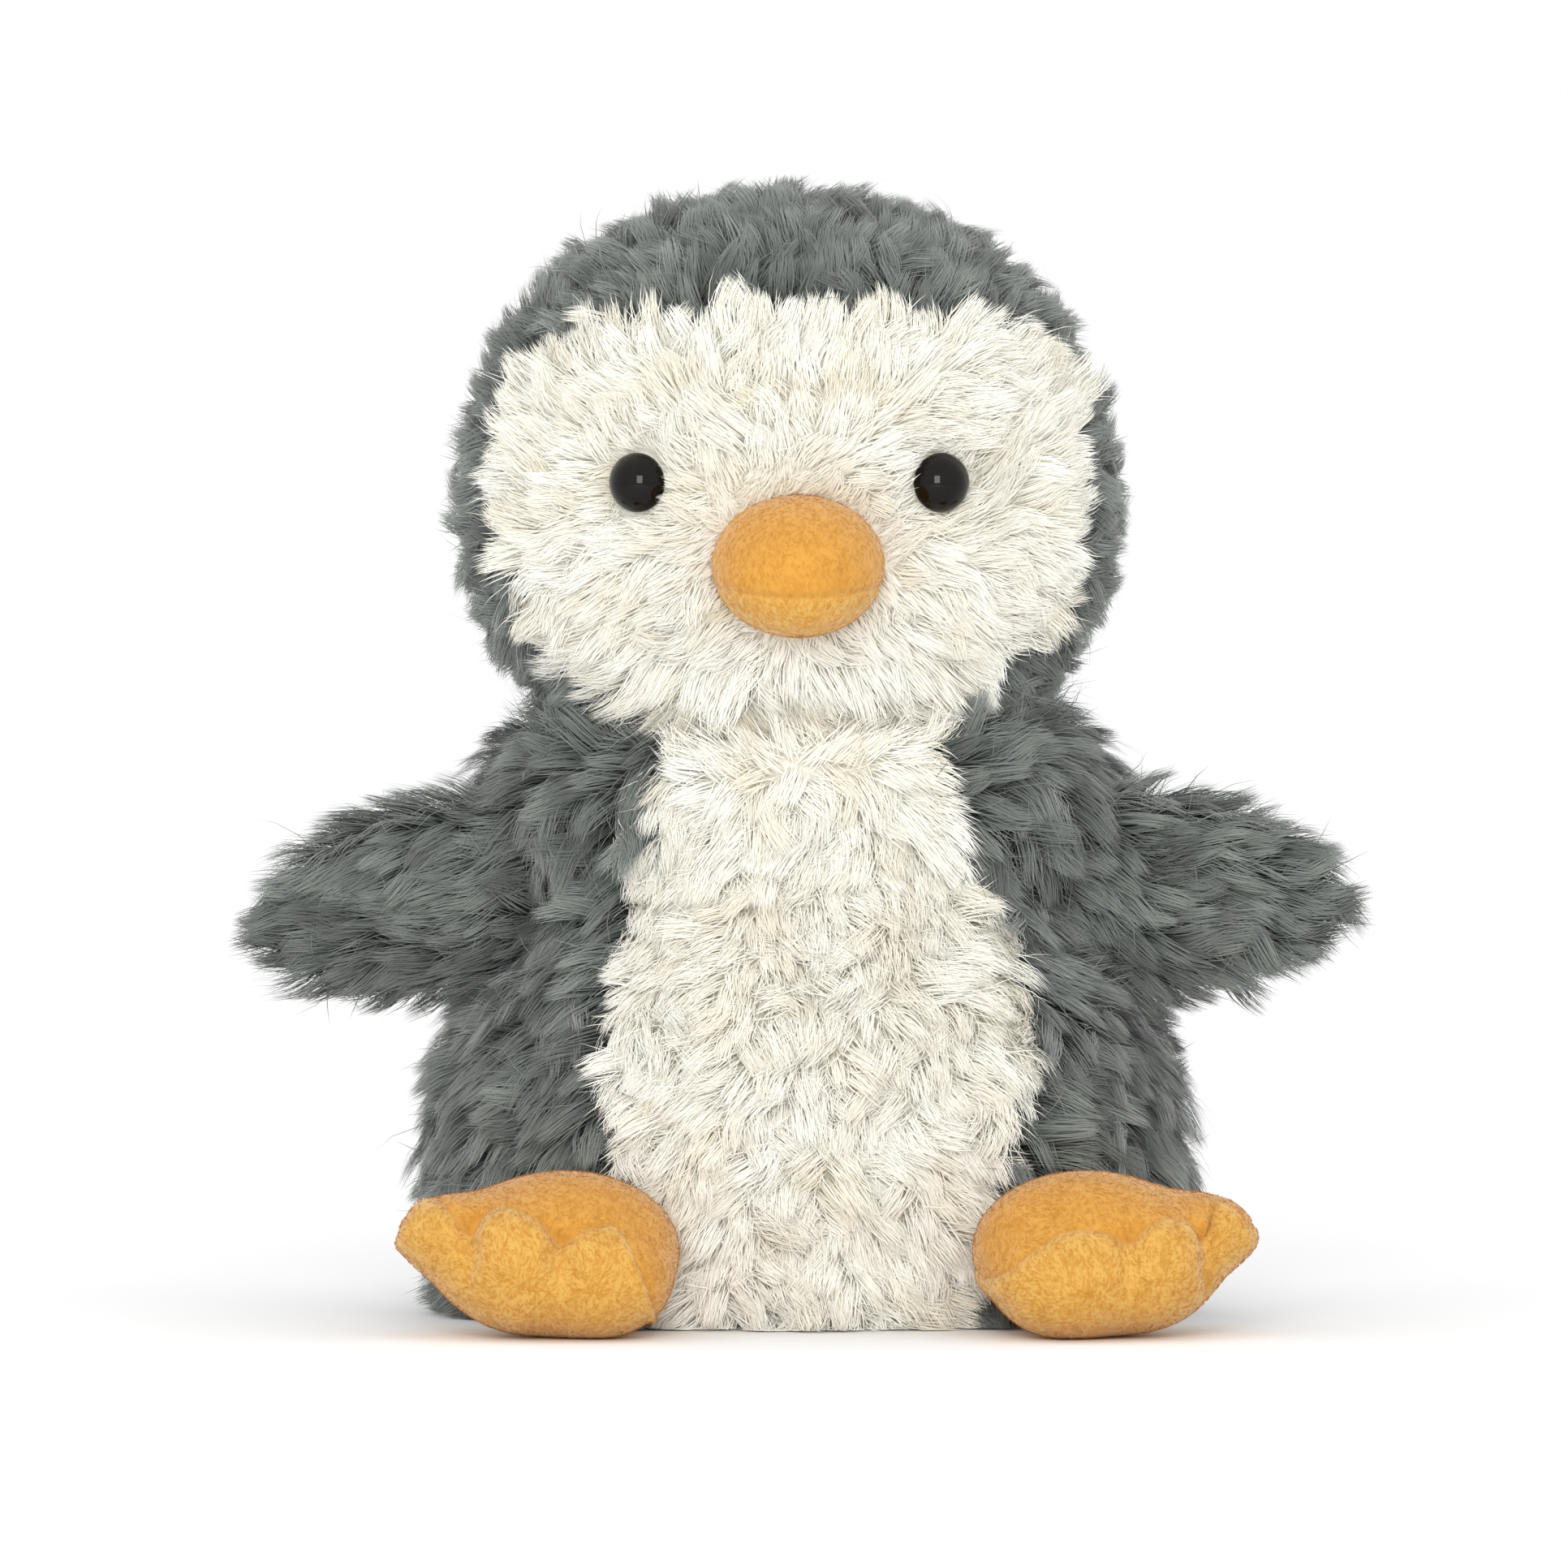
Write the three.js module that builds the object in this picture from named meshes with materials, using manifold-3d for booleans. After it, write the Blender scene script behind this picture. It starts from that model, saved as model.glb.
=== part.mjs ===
// A sitting plush penguin: a pear-shaped body with a flat seat, a round head on a soft neck, two flippers
// and two three-toed feet. Millimetres, +Z up, the toy faces -Y, and its left side is +X.
import * as THREE from "three";
import { mergeVertices } from "three/addons/utils/BufferGeometryUtils.js";
import Module from "manifold-3d";

const wasm = await Module();
wasm.setup();

// ---------------------------------------------------------------- driving dimensions

const GAP = 0.3; // clearance between two touching pieces
const PILE = 6; // a long-pile panel: backing cloth and pressed pile
const FLIPPER_PILE = 2.7; // the same cloth on the flippers, pressed flatter
const FLEECE = 1.4; // a short-pile panel on the beak and the feet
const SHIFT = { x: 0.7, y: 11.6 }; // puts the middle of the whole toy over the origin
const FAR = 400; // side of the blocks that stand in for half-spaces
const SIDES = ["left", "right"];

const BODY = {
  seatThickness: 2.6,
  neckTop: 88,
  // height, half width, half depth, centre x
  rows: [
    [104, 0, 0, -1],
    [103, 16, 16, -1],
    [98, 28, 28, -1],
    [88, 36, 35.5, -0.5],
    [78, 38.5, 38, 0],
    [68, 42, 40, 0.3],
    [57, 47.5, 43, 0.6],
    [47, 54.5, 45.5, 0.8],
    [34, 58.5, 46.8, 1],
    [20, 59, 46.5, 1],
    [9, 56.5, 44, 1],
    [1, 51, 39.5, 1],
    [-4, 40, 31, 1],
    [-6, 20, 16, 1],
    [-6.5, 0, 0, 1],
  ],
};

const HEAD = {
  x: -1.8,
  chin: 96.5, // the head's own outline starts here; below it only the neck ball shows
  bandFloor: 80, // how far the head's cloth reaches down into the neck
  rows: [
    [176.5, 0, 0, -1.8],
    [175.2, 14, 12.5, -1.8],
    [170.5, 28, 25, -1.8],
    [162, 39, 35, -1.8],
    [150, 46.5, 41.5, -1.8],
    [138, 50.5, 44.5, -1.8],
    [125, 52.8, 45.2, -1.8],
    [113, 50.8, 43.5, -1.8],
    [104, 46, 40, -1.8],
    [97, 39, 36, -1.8],
    [90, 27, 25, -1.8],
    [86, 12, 12, -1.8],
    [85, 0, 0, -1.8],
  ],
};

// The head turns on a ball of stuffing in a cup at the top of the body,
// and nods on the ball of the neck roll.
const NECK = { x: -1, z: 98, ball: 34.5, cup: 35.7, rollBall: 18, rollStem: 9, rollFoot: 46, nodGap: 1.4 };

// Along an eye's own axis, 0 is just under the pile and + points out of the face.
const EYE = { radius: 4.6, dome: 3.4, rim: -0.6, shank: 1.4, shankEnd: -9.4 };
const EYE_SEAT = { sunk: 1.5, yaw: 23, height: 131.8 };
const EYE_X = { left: 21.9, right: -25.1 };
const WASHER = { top: -6.5, thickness: 1.5, hole: 1.8, radius: 5.5 };

const BEAK = { centre: [-0.2, -42, 119], radii: [13.2, 16.5, 10.9], seam: 115.2 };

// Each flipper is built along +X from its shoulder pivot, then turned and mirrored into place.
const FLIPPER = {
  pivot: { x: 52, y: -10, z: 66 },
  socket: 14.4,
  droop: { left: 1, right: 8 },
  // distance from the pivot, half height, half thickness, from the tip to the root
  rows: [
    [34.6, 0, 0],
    [33, 5, 3.2],
    [29, 8.8, 5.4],
    [23, 12.2, 7],
    [16, 14.4, 8.2],
    [8, 15, 8.8],
    [0, 14, 8.6],
    [-7, 11.8, 7.6],
    [-12, 6.5, 5],
    [-13.8, 0, 0],
  ],
};

// Foot lobes: out from the middle of the foot, forward, height of the centre, and the three radii.
const FOOT = {
  middle: { left: [45, -48.5], right: [-37, -49] },
  yaw: { left: 15, right: 0 },
  ankle: { back: 8, height: 11 },
  lobes: [
    { out: 0, forward: 0, height: 13.2, radii: [18.4, 15.5, 12.3] },
    { out: -7, forward: 8, height: 9.6, radii: [10.2, 12.5, 9.1] },
    { out: 6.5, forward: 8.5, height: 11.6, radii: [10, 12.5, 9.6] },
    { out: 16, forward: 2, height: 14.9, radii: [9.4, 11, 7] },
  ],
  heel: { radius: 9.8 },
  seam: { height: 9, forwardSlope: 0.42, outSlope: 0.3 },
  flex: [0, 10, 20], // degrees of upward bend that the body leaves room for
  room: 0.6,
};

const POUCH = { centre: [1, 0, 12.6], radii: [34, 27, 9.4], cloth: 0.8 };

// ---------------------------------------------------------------- solids

// A closed three.js geometry with only its positions, and its shared vertices merged.
function bare(geometry) {
  const copy = geometry.clone();
  copy.deleteAttribute("normal");
  copy.deleteAttribute("uv");
  return mergeVertices(copy, 1e-4);
}

function solid(geometry) {
  const merged = bare(geometry);
  const vertProperties = merged.attributes.position.array;
  const triVerts = new Uint32Array(merged.index.array);
  return new wasm.Manifold(new wasm.Mesh({ numProp: 3, vertProperties, triVerts }));
}

function largest(body) {
  return body.decompose().sort((a, b) => b.volume() - a.volume())[0];
}

function geometryOf(body) {
  const mesh = largest(body).getMesh();
  const geometry = new THREE.BufferGeometry();
  geometry.setAttribute("position", new THREE.BufferAttribute(mesh.vertProperties, 3));
  geometry.setIndex(new THREE.BufferAttribute(mesh.triVerts, 1));
  geometry.computeVertexNormals();
  return geometry;
}

// Moves each point of a smooth closed surface along its normal: outwards, or inwards if negative.
function grown(geometry, distance) {
  const copy = geometry.clone();
  copy.computeVertexNormals();
  const position = copy.attributes.position;
  const normal = copy.attributes.normal;
  for (let i = 0; i < position.count; i += 1) {
    const x = position.getX(i) + normal.getX(i) * distance;
    const y = position.getY(i) + normal.getY(i) * distance;
    const z = position.getZ(i) + normal.getZ(i) * distance;
    position.setXYZ(i, x, y, z);
  }
  return copy;
}

// A round body through a stack of ovals, from the top row to the bottom row.
function stack(rows, sides, bands) {
  const sizes = new THREE.CatmullRomCurve3(rows.map((row) => new THREE.Vector3(row[1], row[2], row[0])));
  const centres = new THREE.CatmullRomCurve3(rows.map((row) => new THREE.Vector3(row[3] ?? 0, 0, row[0])));
  const geometry = new THREE.SphereGeometry(1, sides, bands);
  const position = geometry.attributes.position;
  const point = new THREE.Vector3();
  for (let i = 0; i < position.count; i += 1) {
    point.fromBufferAttribute(position, i);
    const along = Math.acos(THREE.MathUtils.clamp(point.y, -1, 1)) / Math.PI;
    const around = Math.atan2(point.z, point.x);
    const atPole = Math.hypot(point.x, point.z) < 1e-6;
    const size = sizes.getPoint(along);
    const centre = centres.getPoint(along);
    const reach = atPole ? 0 : 1;
    const x = centre.x + reach * size.x * Math.cos(around);
    const y = -reach * size.y * Math.sin(around);
    position.setXYZ(i, x, y, size.z);
  }
  return bare(geometry);
}

function ellipsoid(centre, radii, sides = 14, bands = 9) {
  const geometry = new THREE.SphereGeometry(1, sides, bands);
  geometry.rotateX(Math.PI / 2);
  geometry.scale(radii[0], radii[1], radii[2]);
  geometry.translate(centre[0], centre[1], centre[2]);
  return geometry;
}

function ball(x, y, z, radius, sides = 14, bands = 9) {
  return solid(ellipsoid([x, y, z], [radius, radius, radius], sides, bands));
}

// Everything above a height (or below it), or to one side of a plane across an axis.
function beyond(axis, value, sign = 1) {
  const block = new THREE.BoxGeometry(FAR, FAR, FAR);
  const move = { x: 0, y: 0, z: 0 };
  move[axis] = value + (sign * FAR) / 2;
  block.translate(move.x, move.y, move.z);
  return solid(block);
}

function above(z) {
  return beyond("z", z, 1);
}

function below(z) {
  return beyond("z", z, -1);
}

// A smooth outline seen from the front, [x, z] points, as a block from the far front back to y = 0.
function frontBlock(points, extra = 0) {
  const middle = new THREE.Vector2();
  points.forEach((point) => middle.add(new THREE.Vector2(point[0], point[1])));
  middle.divideScalar(points.length);
  const moved = points.map((point) => {
    const from = new THREE.Vector2(point[0], point[1]).sub(middle);
    return from.setLength(from.length() + extra).add(middle);
  });
  const shape = new THREE.Shape(new THREE.SplineCurve([...moved, moved[0]]).getPoints(moved.length * 2));
  const block = new THREE.ExtrudeGeometry(shape, { depth: FAR, bevelEnabled: false });
  block.rotateX(Math.PI / 2);
  return solid(block);
}

function join(solids) {
  return solids.reduce((sum, next) => sum.add(next));
}

// ---------------------------------------------------------------- materials and nodes

function cloth(color, roughness) {
  return new THREE.MeshStandardMaterial({ color, roughness, metalness: 0 });
}

const GREY_PILE = cloth(0x6b706b, 0.95);
const CREAM_PILE = cloth(0xe9e6d9, 0.95);
const ORANGE_FLEECE = cloth(0xe3a955, 0.9);
const FIBRE = cloth(0xf5f5f2, 1);
const POUCH_CLOTH = cloth(0xd8d4c8, 0.9);
const PELLETS = cloth(0xb9c2c6, 0.6);
const EYE_PLASTIC = cloth(0x191411, 0.08);
const WASHER_PLASTIC = cloth(0xdedede, 0.5);

function node(name, body, material) {
  const mesh = new THREE.Mesh(geometryOf(body), material);
  mesh.name = name;
  return mesh;
}

// ---------------------------------------------------------------- feet

function footPoint(side, out, forward) {
  const turn = THREE.MathUtils.degToRad(FOOT.yaw[side]);
  const sign = side === "left" ? 1 : -1;
  const [x, y] = FOOT.middle[side];
  const across = out * Math.cos(turn) + forward * Math.sin(turn);
  const ahead = forward * Math.cos(turn) - out * Math.sin(turn);
  return [x + sign * across, y - ahead];
}

function anklePoint(side) {
  const [x, y] = FOOT.middle[side];
  return [x, y + FOOT.ankle.back, FOOT.ankle.height];
}

// The foot's lobes, each made larger or smaller all round by extra.
function footSolid(side, extra) {
  const turn = THREE.MathUtils.degToRad(FOOT.yaw[side]) * (side === "left" ? 1 : -1);
  const lobes = FOOT.lobes.map((lobe) => {
    const [x, y] = footPoint(side, lobe.out, lobe.forward);
    const shape = ellipsoid([0, 0, 0], lobe.radii.map((radius) => radius + extra), 8, 6);
    shape.rotateZ(turn);
    shape.translate(x, y, lobe.height);
    return solid(shape);
  });
  const [x, y, z] = anklePoint(side);
  lobes.push(ball(x, y, z, FOOT.heel.radius + extra, 8, 6));
  return join(lobes);
}

// The block under the tilted plane of the sole seam.
function underSeam(side, shift) {
  const sign = side === "left" ? 1 : -1;
  const { height, forwardSlope, outSlope } = FOOT.seam;
  const normal = new THREE.Vector3(-sign * outSlope, forwardSlope, 1).normalize();
  const block = new THREE.BoxGeometry(FAR, FAR, FAR);
  block.translate(0, 0, -FAR / 2 + shift);
  block.applyQuaternion(new THREE.Quaternion().setFromUnitVectors(new THREE.Vector3(0, 0, 1), normal));
  const [x, y] = FOOT.middle[side];
  block.translate(x, y, height);
  return solid(block);
}

function makeFoot(side) {
  const shell = footSolid(side, 0).subtract(footSolid(side, -FLEECE));
  const upper = shell.subtract(underSeam(side, GAP / 2));
  const sole = shell.intersect(underSeam(side, -GAP / 2));
  const foot = new THREE.Group();
  foot.add(node(`${side}_foot_upper_panel`, upper, ORANGE_FLEECE));
  foot.add(node(`${side}_foot_sole_panel`, sole, ORANGE_FLEECE));
  foot.add(node(`${side}_foot_filling`, footSolid(side, -FLEECE - GAP), FIBRE));
  return foot;
}

// The room that the foot needs in the body, at rest and bent up.
function footRoom(side) {
  const [x, y, z] = anklePoint(side);
  const room = footSolid(side, FOOT.room);
  return join(
    FOOT.flex.map((angle) => room.translate([-x, -y, -z]).rotate([-angle, 0, 0]).translate([x, y, z])),
  );
}

// ---------------------------------------------------------------- flippers

function makeFlipper(side) {
  const sign = side === "left" ? 1 : -1;
  const outer = stack(FLIPPER.rows, 10, 10);
  outer.rotateY(Math.PI / 2);
  const inner = grown(outer, -FLIPPER_PILE);
  const filling = grown(outer, -FLIPPER_PILE - GAP);
  const shell = solid(outer).subtract(solid(inner));
  const flipper = new THREE.Group();
  const parts = [
    ["front_panel", shell.intersect(beyond("y", -GAP / 2, -1)), GREY_PILE],
    ["back_panel", shell.intersect(beyond("y", GAP / 2, 1)), GREY_PILE],
    ["filling", solid(filling), FIBRE],
  ];
  for (const [name, body, material] of parts) {
    const placed = sign === 1 ? body : body.mirror([1, 0, 0]);
    flipper.add(node(`${side}_flipper_${name}`, placed, material));
  }
  flipper.position.set(sign * FLIPPER.pivot.x, FLIPPER.pivot.y, FLIPPER.pivot.z);
  flipper.rotation.y = THREE.MathUtils.degToRad(sign * FLIPPER.droop[side]);
  return flipper;
}

function shoulderSocket(side) {
  const sign = side === "left" ? 1 : -1;
  const { x, y, z } = FLIPPER.pivot;
  return ball(sign * x, y, z, FLIPPER.socket);
}

// ---------------------------------------------------------------- body

// Front outlines of the cream panels, [x, z], clockwise from the top left.
const BELLY_OUTLINE = [
  [-19, 100], [0, 102], [19, 100], [22, 86], [27, 72], [33, 57], [37.5, 42], [34, 27],
  [27, 15], [22, -4], [0, -8], [-17, -4], [-19, 12], [-29, 26], [-31.5, 41], [-29, 57], [-25, 71],
  [-21.5, 85],
];

const FACE_OUTLINE = [
  [-31, 158], [-12, 161.5], [8, 161.5], [30, 158], [41, 150], [43.5, 140], [43, 120], [39, 107],
  [27, 98], [20, 90], [17, 70], [0, 68], [-17, 70], [-20, 90], [-31, 98], [-42, 107], [-46, 120],
  [-46.5, 140], [-42, 151],
];

function neckBall(radius) {
  return ball(NECK.x, 0, NECK.z, radius, 16, 12);
}

// The firm roll of stuffing in the neck: a ball in the head on a stem down into the body.
function neckRoll(extra) {
  const profile = [];
  const steps = 6;
  const stem = NECK.rollStem + extra;
  const radius = NECK.rollBall + extra;
  const last = Math.PI - Math.asin(stem / radius);
  profile.push(new THREE.Vector2(0, NECK.rollFoot - extra));
  profile.push(new THREE.Vector2(stem, NECK.rollFoot - extra));
  for (let i = steps; i >= 1; i -= 1) {
    const angle = (last * i) / steps;
    profile.push(new THREE.Vector2(radius * Math.sin(angle), NECK.z + radius * Math.cos(angle)));
  }
  profile.push(new THREE.Vector2(0, NECK.z + radius));
  const roll = new THREE.LatheGeometry(profile, 14);
  roll.rotateX(Math.PI / 2);
  roll.translate(NECK.x, 0, 0);
  return solid(roll);
}

// The flared hole under the head that lets it nod round the neck roll.
function nodRoom() {
  const bottom = NECK.z - NECK.ball - 1;
  const cone = new THREE.CylinderGeometry(12, 22, NECK.z - bottom, 14);
  cone.rotateX(Math.PI / 2);
  cone.translate(NECK.x, 0, (NECK.z + bottom) / 2);
  return solid(cone);
}

// A pocket with the pouch's outline, open down to the seat.
function pouchPocket() {
  const [x, y, z] = POUCH.centre;
  const [a, b] = POUCH.radii;
  const column = new THREE.CylinderGeometry(1, 1, z, 14);
  column.rotateX(Math.PI / 2);
  column.scale(a + GAP, b + GAP, 1);
  column.translate(x, y, z / 2);
  return pouchSolid(GAP).add(solid(column));
}

function pouchSolid(extra) {
  const radii = POUCH.radii.map((radius) => radius + extra);
  return solid(ellipsoid(POUCH.centre, radii, 14, 8));
}

function makePouch() {
  const shell = pouchSolid(0).subtract(pouchSolid(-POUCH.cloth));
  const pouch = new THREE.Group();
  const seam = POUCH.centre[2];
  pouch.add(node("bean_pouch_upper", shell.intersect(above(seam + GAP / 2)), POUCH_CLOTH));
  pouch.add(node("bean_pouch_lower", shell.intersect(below(seam - GAP / 2)), POUCH_CLOTH));
  pouch.add(node("bean_pellets", pouchSolid(-POUCH.cloth - GAP), PELLETS));
  return pouch;
}

function makeBody() {
  const outline = stack(BODY.rows, 20, 18);
  const limbRooms = SIDES.flatMap((side) => [shoulderSocket(side), footRoom(side)]);
  const rooms = join([neckBall(NECK.cup), ...limbRooms]);
  const trim = (body) => body.intersect(below(BODY.neckTop)).intersect(above(0)).subtract(rooms);
  const whole = trim(solid(outline));
  const overSeat = above(BODY.seatThickness + GAP);
  const shell = whole.subtract(solid(grown(outline, -PILE))).intersect(overSeat);
  const sides = shell.subtract(frontBlock(BELLY_OUTLINE, GAP));
  const seam = BODY.rows[BODY.rows.length - 1][3];
  const filling = trim(solid(grown(outline, -PILE - GAP)))
    .intersect(overSeat)
    .subtract(pouchPocket())
    .subtract(neckRoll(GAP));
  const body = new THREE.Group();
  body.add(node("belly_panel", shell.intersect(frontBlock(BELLY_OUTLINE)), CREAM_PILE));
  body.add(node("left_side_panel", sides.intersect(beyond("x", seam + GAP / 2, 1)), GREY_PILE));
  body.add(node("right_side_panel", sides.intersect(beyond("x", seam - GAP / 2, -1)), GREY_PILE));
  body.add(node("base_panel", whole.intersect(below(BODY.seatThickness)), GREY_PILE));
  body.add(node("body_filling", filling, FIBRE));
  body.add(makePouch());
  return body;
}

// ---------------------------------------------------------------- head

function headSolid(outline, ballRadius) {
  const skull = solid(outline).intersect(above(HEAD.chin));
  return skull.add(neckBall(ballRadius).intersect(above(HEAD.bandFloor)));
}

// Places a body built along +Y so that it points out of the face at one eye.
function atEye(side, body) {
  const x = EYE_X[side];
  const sideways = x - HEAD.x;
  const [, width, depth] = HEAD.rows.find((row) => row[0] < EYE_SEAT.height);
  const forward = depth * Math.sqrt(1 - (sideways / width) ** 2) - EYE_SEAT.sunk;
  const yaw = Math.sign(sideways) * EYE_SEAT.yaw;
  return body.rotate([0, 0, 180]).rotate([0, 0, yaw]).translate([x, -forward, EYE_SEAT.height]);
}

// A turned body from its [radius, distance] profile, along +Y.
function turned(profile) {
  const points = profile.map(([radius, along]) => new THREE.Vector2(radius, along));
  return solid(new THREE.LatheGeometry(points, 12));
}

function plug(radius, from, to) {
  return turned([[0, from], [radius, from], [radius, to], [0, to]]);
}

function eyeProfile() {
  const { radius, dome, shank, shankEnd, rim } = EYE;
  const profile = [[0, shankEnd], [shank, shankEnd], [shank, rim], [radius * 0.96, rim]];
  const steps = 4;
  for (let i = 0; i < steps; i += 1) {
    const angle = ((Math.PI / 2) * i) / steps;
    profile.push([radius * Math.cos(angle), dome * Math.sin(angle)]);
  }
  profile.push([0, dome]);
  return profile;
}

function washerProfile() {
  const { top, thickness, hole, radius } = WASHER;
  const bottom = top - thickness;
  return [[hole, bottom], [radius, bottom], [radius, top], [hole, top], [hole, bottom]];
}

function makeBeak(headOuter) {
  const radiiWith = (extra) => BEAK.radii.map((radius) => radius + extra);
  const ovoid = (extra) => solid(ellipsoid(BEAK.centre, radiiWith(extra), 16, 10));
  const free = (body) => body.subtract(headOuter);
  const shell = free(ovoid(0).subtract(ovoid(-FLEECE)));
  const beak = new THREE.Group();
  beak.add(node("beak_upper_panel", shell.intersect(above(BEAK.seam + GAP / 2)), ORANGE_FLEECE));
  beak.add(node("beak_lower_panel", shell.intersect(below(BEAK.seam - GAP / 2)), ORANGE_FLEECE));
  beak.add(node("beak_filling", free(ovoid(-FLEECE - GAP)), FIBRE));
  return beak;
}

function makeHead() {
  const outline = stack(HEAD.rows, 20, 16);
  const outer = headSolid(outline, NECK.ball);
  const shell = outer.subtract(
    solid(grown(outline, -PILE)).intersect(above(HEAD.chin - PILE)).add(neckBall(NECK.ball - PILE)),
  );
  let face = shell.intersect(frontBlock(FACE_OUTLINE));
  let filling = solid(grown(outline, -PILE - GAP))
    .intersect(above(HEAD.chin))
    .add(neckBall(NECK.ball - PILE - GAP))
    .subtract(neckRoll(NECK.nodGap))
    .subtract(nodRoom());
  const head = new THREE.Group();
  for (const side of SIDES) {
    face = face.subtract(atEye(side, plug(EYE.radius + GAP, EYE.rim - GAP, PILE * 2)));
    face = face.subtract(atEye(side, plug(WASHER.hole, -PILE * 1.5, 0)));
    filling = filling.subtract(atEye(side, plug(WASHER.radius + GAP, EYE.shankEnd - GAP, 0)));
    head.add(node(`${side}_eye`, atEye(side, turned(eyeProfile())), EYE_PLASTIC));
    head.add(node(`${side}_eye_washer`, atEye(side, turned(washerProfile())), WASHER_PLASTIC));
  }
  const hood = shell.subtract(frontBlock(FACE_OUTLINE, GAP));
  head.add(node("face_panel", face, CREAM_PILE));
  head.add(node("left_hood_panel", hood.intersect(beyond("x", HEAD.x + GAP / 2, 1)), GREY_PILE));
  head.add(node("right_hood_panel", hood.intersect(beyond("x", HEAD.x - GAP / 2, -1)), GREY_PILE));
  head.add(node("head_filling", filling, FIBRE));
  head.add(makeBeak(solid(grown(outline, GAP))));
  return head;
}

// ---------------------------------------------------------------- the whole toy

const penguin = new THREE.Group();
penguin.add(makeBody());
penguin.add(node("neck_filling", neckRoll(0), FIBRE));
penguin.add(makeHead());
for (const side of SIDES) {
  penguin.add(makeFlipper(side));
  penguin.add(makeFoot(side));
}
penguin.position.set(SHIFT.x, SHIFT.y, 0);

export default penguin;
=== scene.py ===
"""Looks of a sitting plush penguin: long tufted grey and cream pile on the head, body and flippers,
short golden nap on the beak and feet, two glossy eyes, and a white studio round it.

Lengths are in metres unless a name ends in _MM. The front is -Y, and the toy's own left side is +X.
"""

import math
from types import SimpleNamespace

import bmesh
import bpy
import numpy as np
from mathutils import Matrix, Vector
from mathutils.bvhtree import BVHTree
from mathutils.kdtree import KDTree


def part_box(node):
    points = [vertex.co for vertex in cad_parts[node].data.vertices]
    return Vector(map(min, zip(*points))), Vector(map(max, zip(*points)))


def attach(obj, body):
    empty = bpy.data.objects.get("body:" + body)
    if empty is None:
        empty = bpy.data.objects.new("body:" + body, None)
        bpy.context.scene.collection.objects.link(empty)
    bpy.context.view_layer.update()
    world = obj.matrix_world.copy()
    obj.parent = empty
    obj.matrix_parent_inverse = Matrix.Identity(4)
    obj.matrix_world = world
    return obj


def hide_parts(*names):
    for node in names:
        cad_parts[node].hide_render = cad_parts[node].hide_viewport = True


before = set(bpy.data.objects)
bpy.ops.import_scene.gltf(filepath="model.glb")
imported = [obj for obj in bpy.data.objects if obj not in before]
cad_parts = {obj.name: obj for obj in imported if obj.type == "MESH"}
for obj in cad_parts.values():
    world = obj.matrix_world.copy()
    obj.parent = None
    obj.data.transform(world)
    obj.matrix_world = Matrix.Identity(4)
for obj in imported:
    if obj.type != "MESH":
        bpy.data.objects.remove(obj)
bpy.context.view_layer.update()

MM = 0.001
SIDES = {"left": 1.0, "right": -1.0}

# Where the parts are, in the row frame.
HEAD_CENTRE = np.array([-0.0011, 0.0116, 0.130])
BODY_CENTRE = np.array([0.0016, 0.0116, 0.040])
NECK_PIVOT = np.array([-0.0003, 0.0116, 0.098])
BEAK_CENTRE = np.array([0.0005, -0.0304, 0.1181])
BEAK_RADII = np.array([0.0132, 0.0165, 0.0109])
BEAK_SEAM_Z = 0.1145
EYE_RADIUS = 0.0046
EYE_DOME = 0.0034
EYE_RIM = 0.0006
EYE_SHANK_RADIUS = 0.0014
EYE_SHANK_END = 0.0094
EYE_YAW = math.radians(23)

rng = np.random.default_rng(11)


# ---------------------------------------------------------------- small helpers


def srgb(*values):
    """A linear colour, with alpha, from 0 to 255 display values."""
    out = []
    for value in values:
        share = value / 255
        out.append(share / 12.92 if share <= 0.04045 else ((share + 0.055) / 1.055) ** 2.4)
    return (*out, 1.0)


def unit(vectors):
    length = np.linalg.norm(vectors, axis=-1, keepdims=True)
    return vectors / np.maximum(length, 1e-12)


def smoothstep(low, high, values):
    share = np.clip((values - low) / (high - low), 0, 1)
    return share * share * (3 - 2 * share)


def wobble(points, size, seed):
    """Smooth noise from -1 to 1 at each point, a sum of waves with features about size metres across."""
    maker = np.random.default_rng(seed)
    total = np.zeros(len(points))
    for _ in range(10):
        direction = unit(maker.normal(size=3))
        scale = maker.uniform(0.6, 1.7) * 2 * math.pi / size
        total += np.sin(points @ direction * scale + maker.uniform(0, 2 * math.pi))
    return np.clip(total / 3.2, -1, 1)


def mesh_object(name, vertices, faces, smooth=True):
    mesh = bpy.data.meshes.new(name)
    mesh.from_pydata([tuple(v) for v in vertices], [], [tuple(int(i) for i in f) for f in faces])
    mesh.update()
    if smooth:
        mesh.polygons.foreach_set("use_smooth", [True] * len(mesh.polygons))
    made = bpy.data.objects.new(name, mesh)
    bpy.context.scene.collection.objects.link(made)
    return made


def node_triangles(names):
    """Vertices, triangles and, for each triangle, the index of the CAD node it belongs to."""
    vertices, faces, owners, start = [], [], [], 0
    for index, name in enumerate(names):
        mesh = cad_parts[name].data
        mesh.calc_loop_triangles()
        vertices += [tuple(v.co) for v in mesh.vertices]
        for triangle in mesh.loop_triangles:
            faces.append(tuple(start + i for i in triangle.vertices))
            owners.append(index)
        start = len(vertices)
    return vertices, faces, owners


def icosphere(level):
    made = bmesh.new()
    bmesh.ops.create_icosphere(made, subdivisions=level, radius=1)
    made.verts.ensure_lookup_table()
    vertices = np.array([v.co for v in made.verts], float).reshape(-1, 3)
    faces = np.array([[v.index for v in f.verts] for f in made.faces], int)
    made.free()
    return vertices, faces


def face_crosses(vertices, faces):
    """A vector along each triangle's normal, twice as long as its area."""
    a, b, c = (vertices[faces[:, k]] for k in range(3))
    return np.cross(b - a, c - a)


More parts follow.
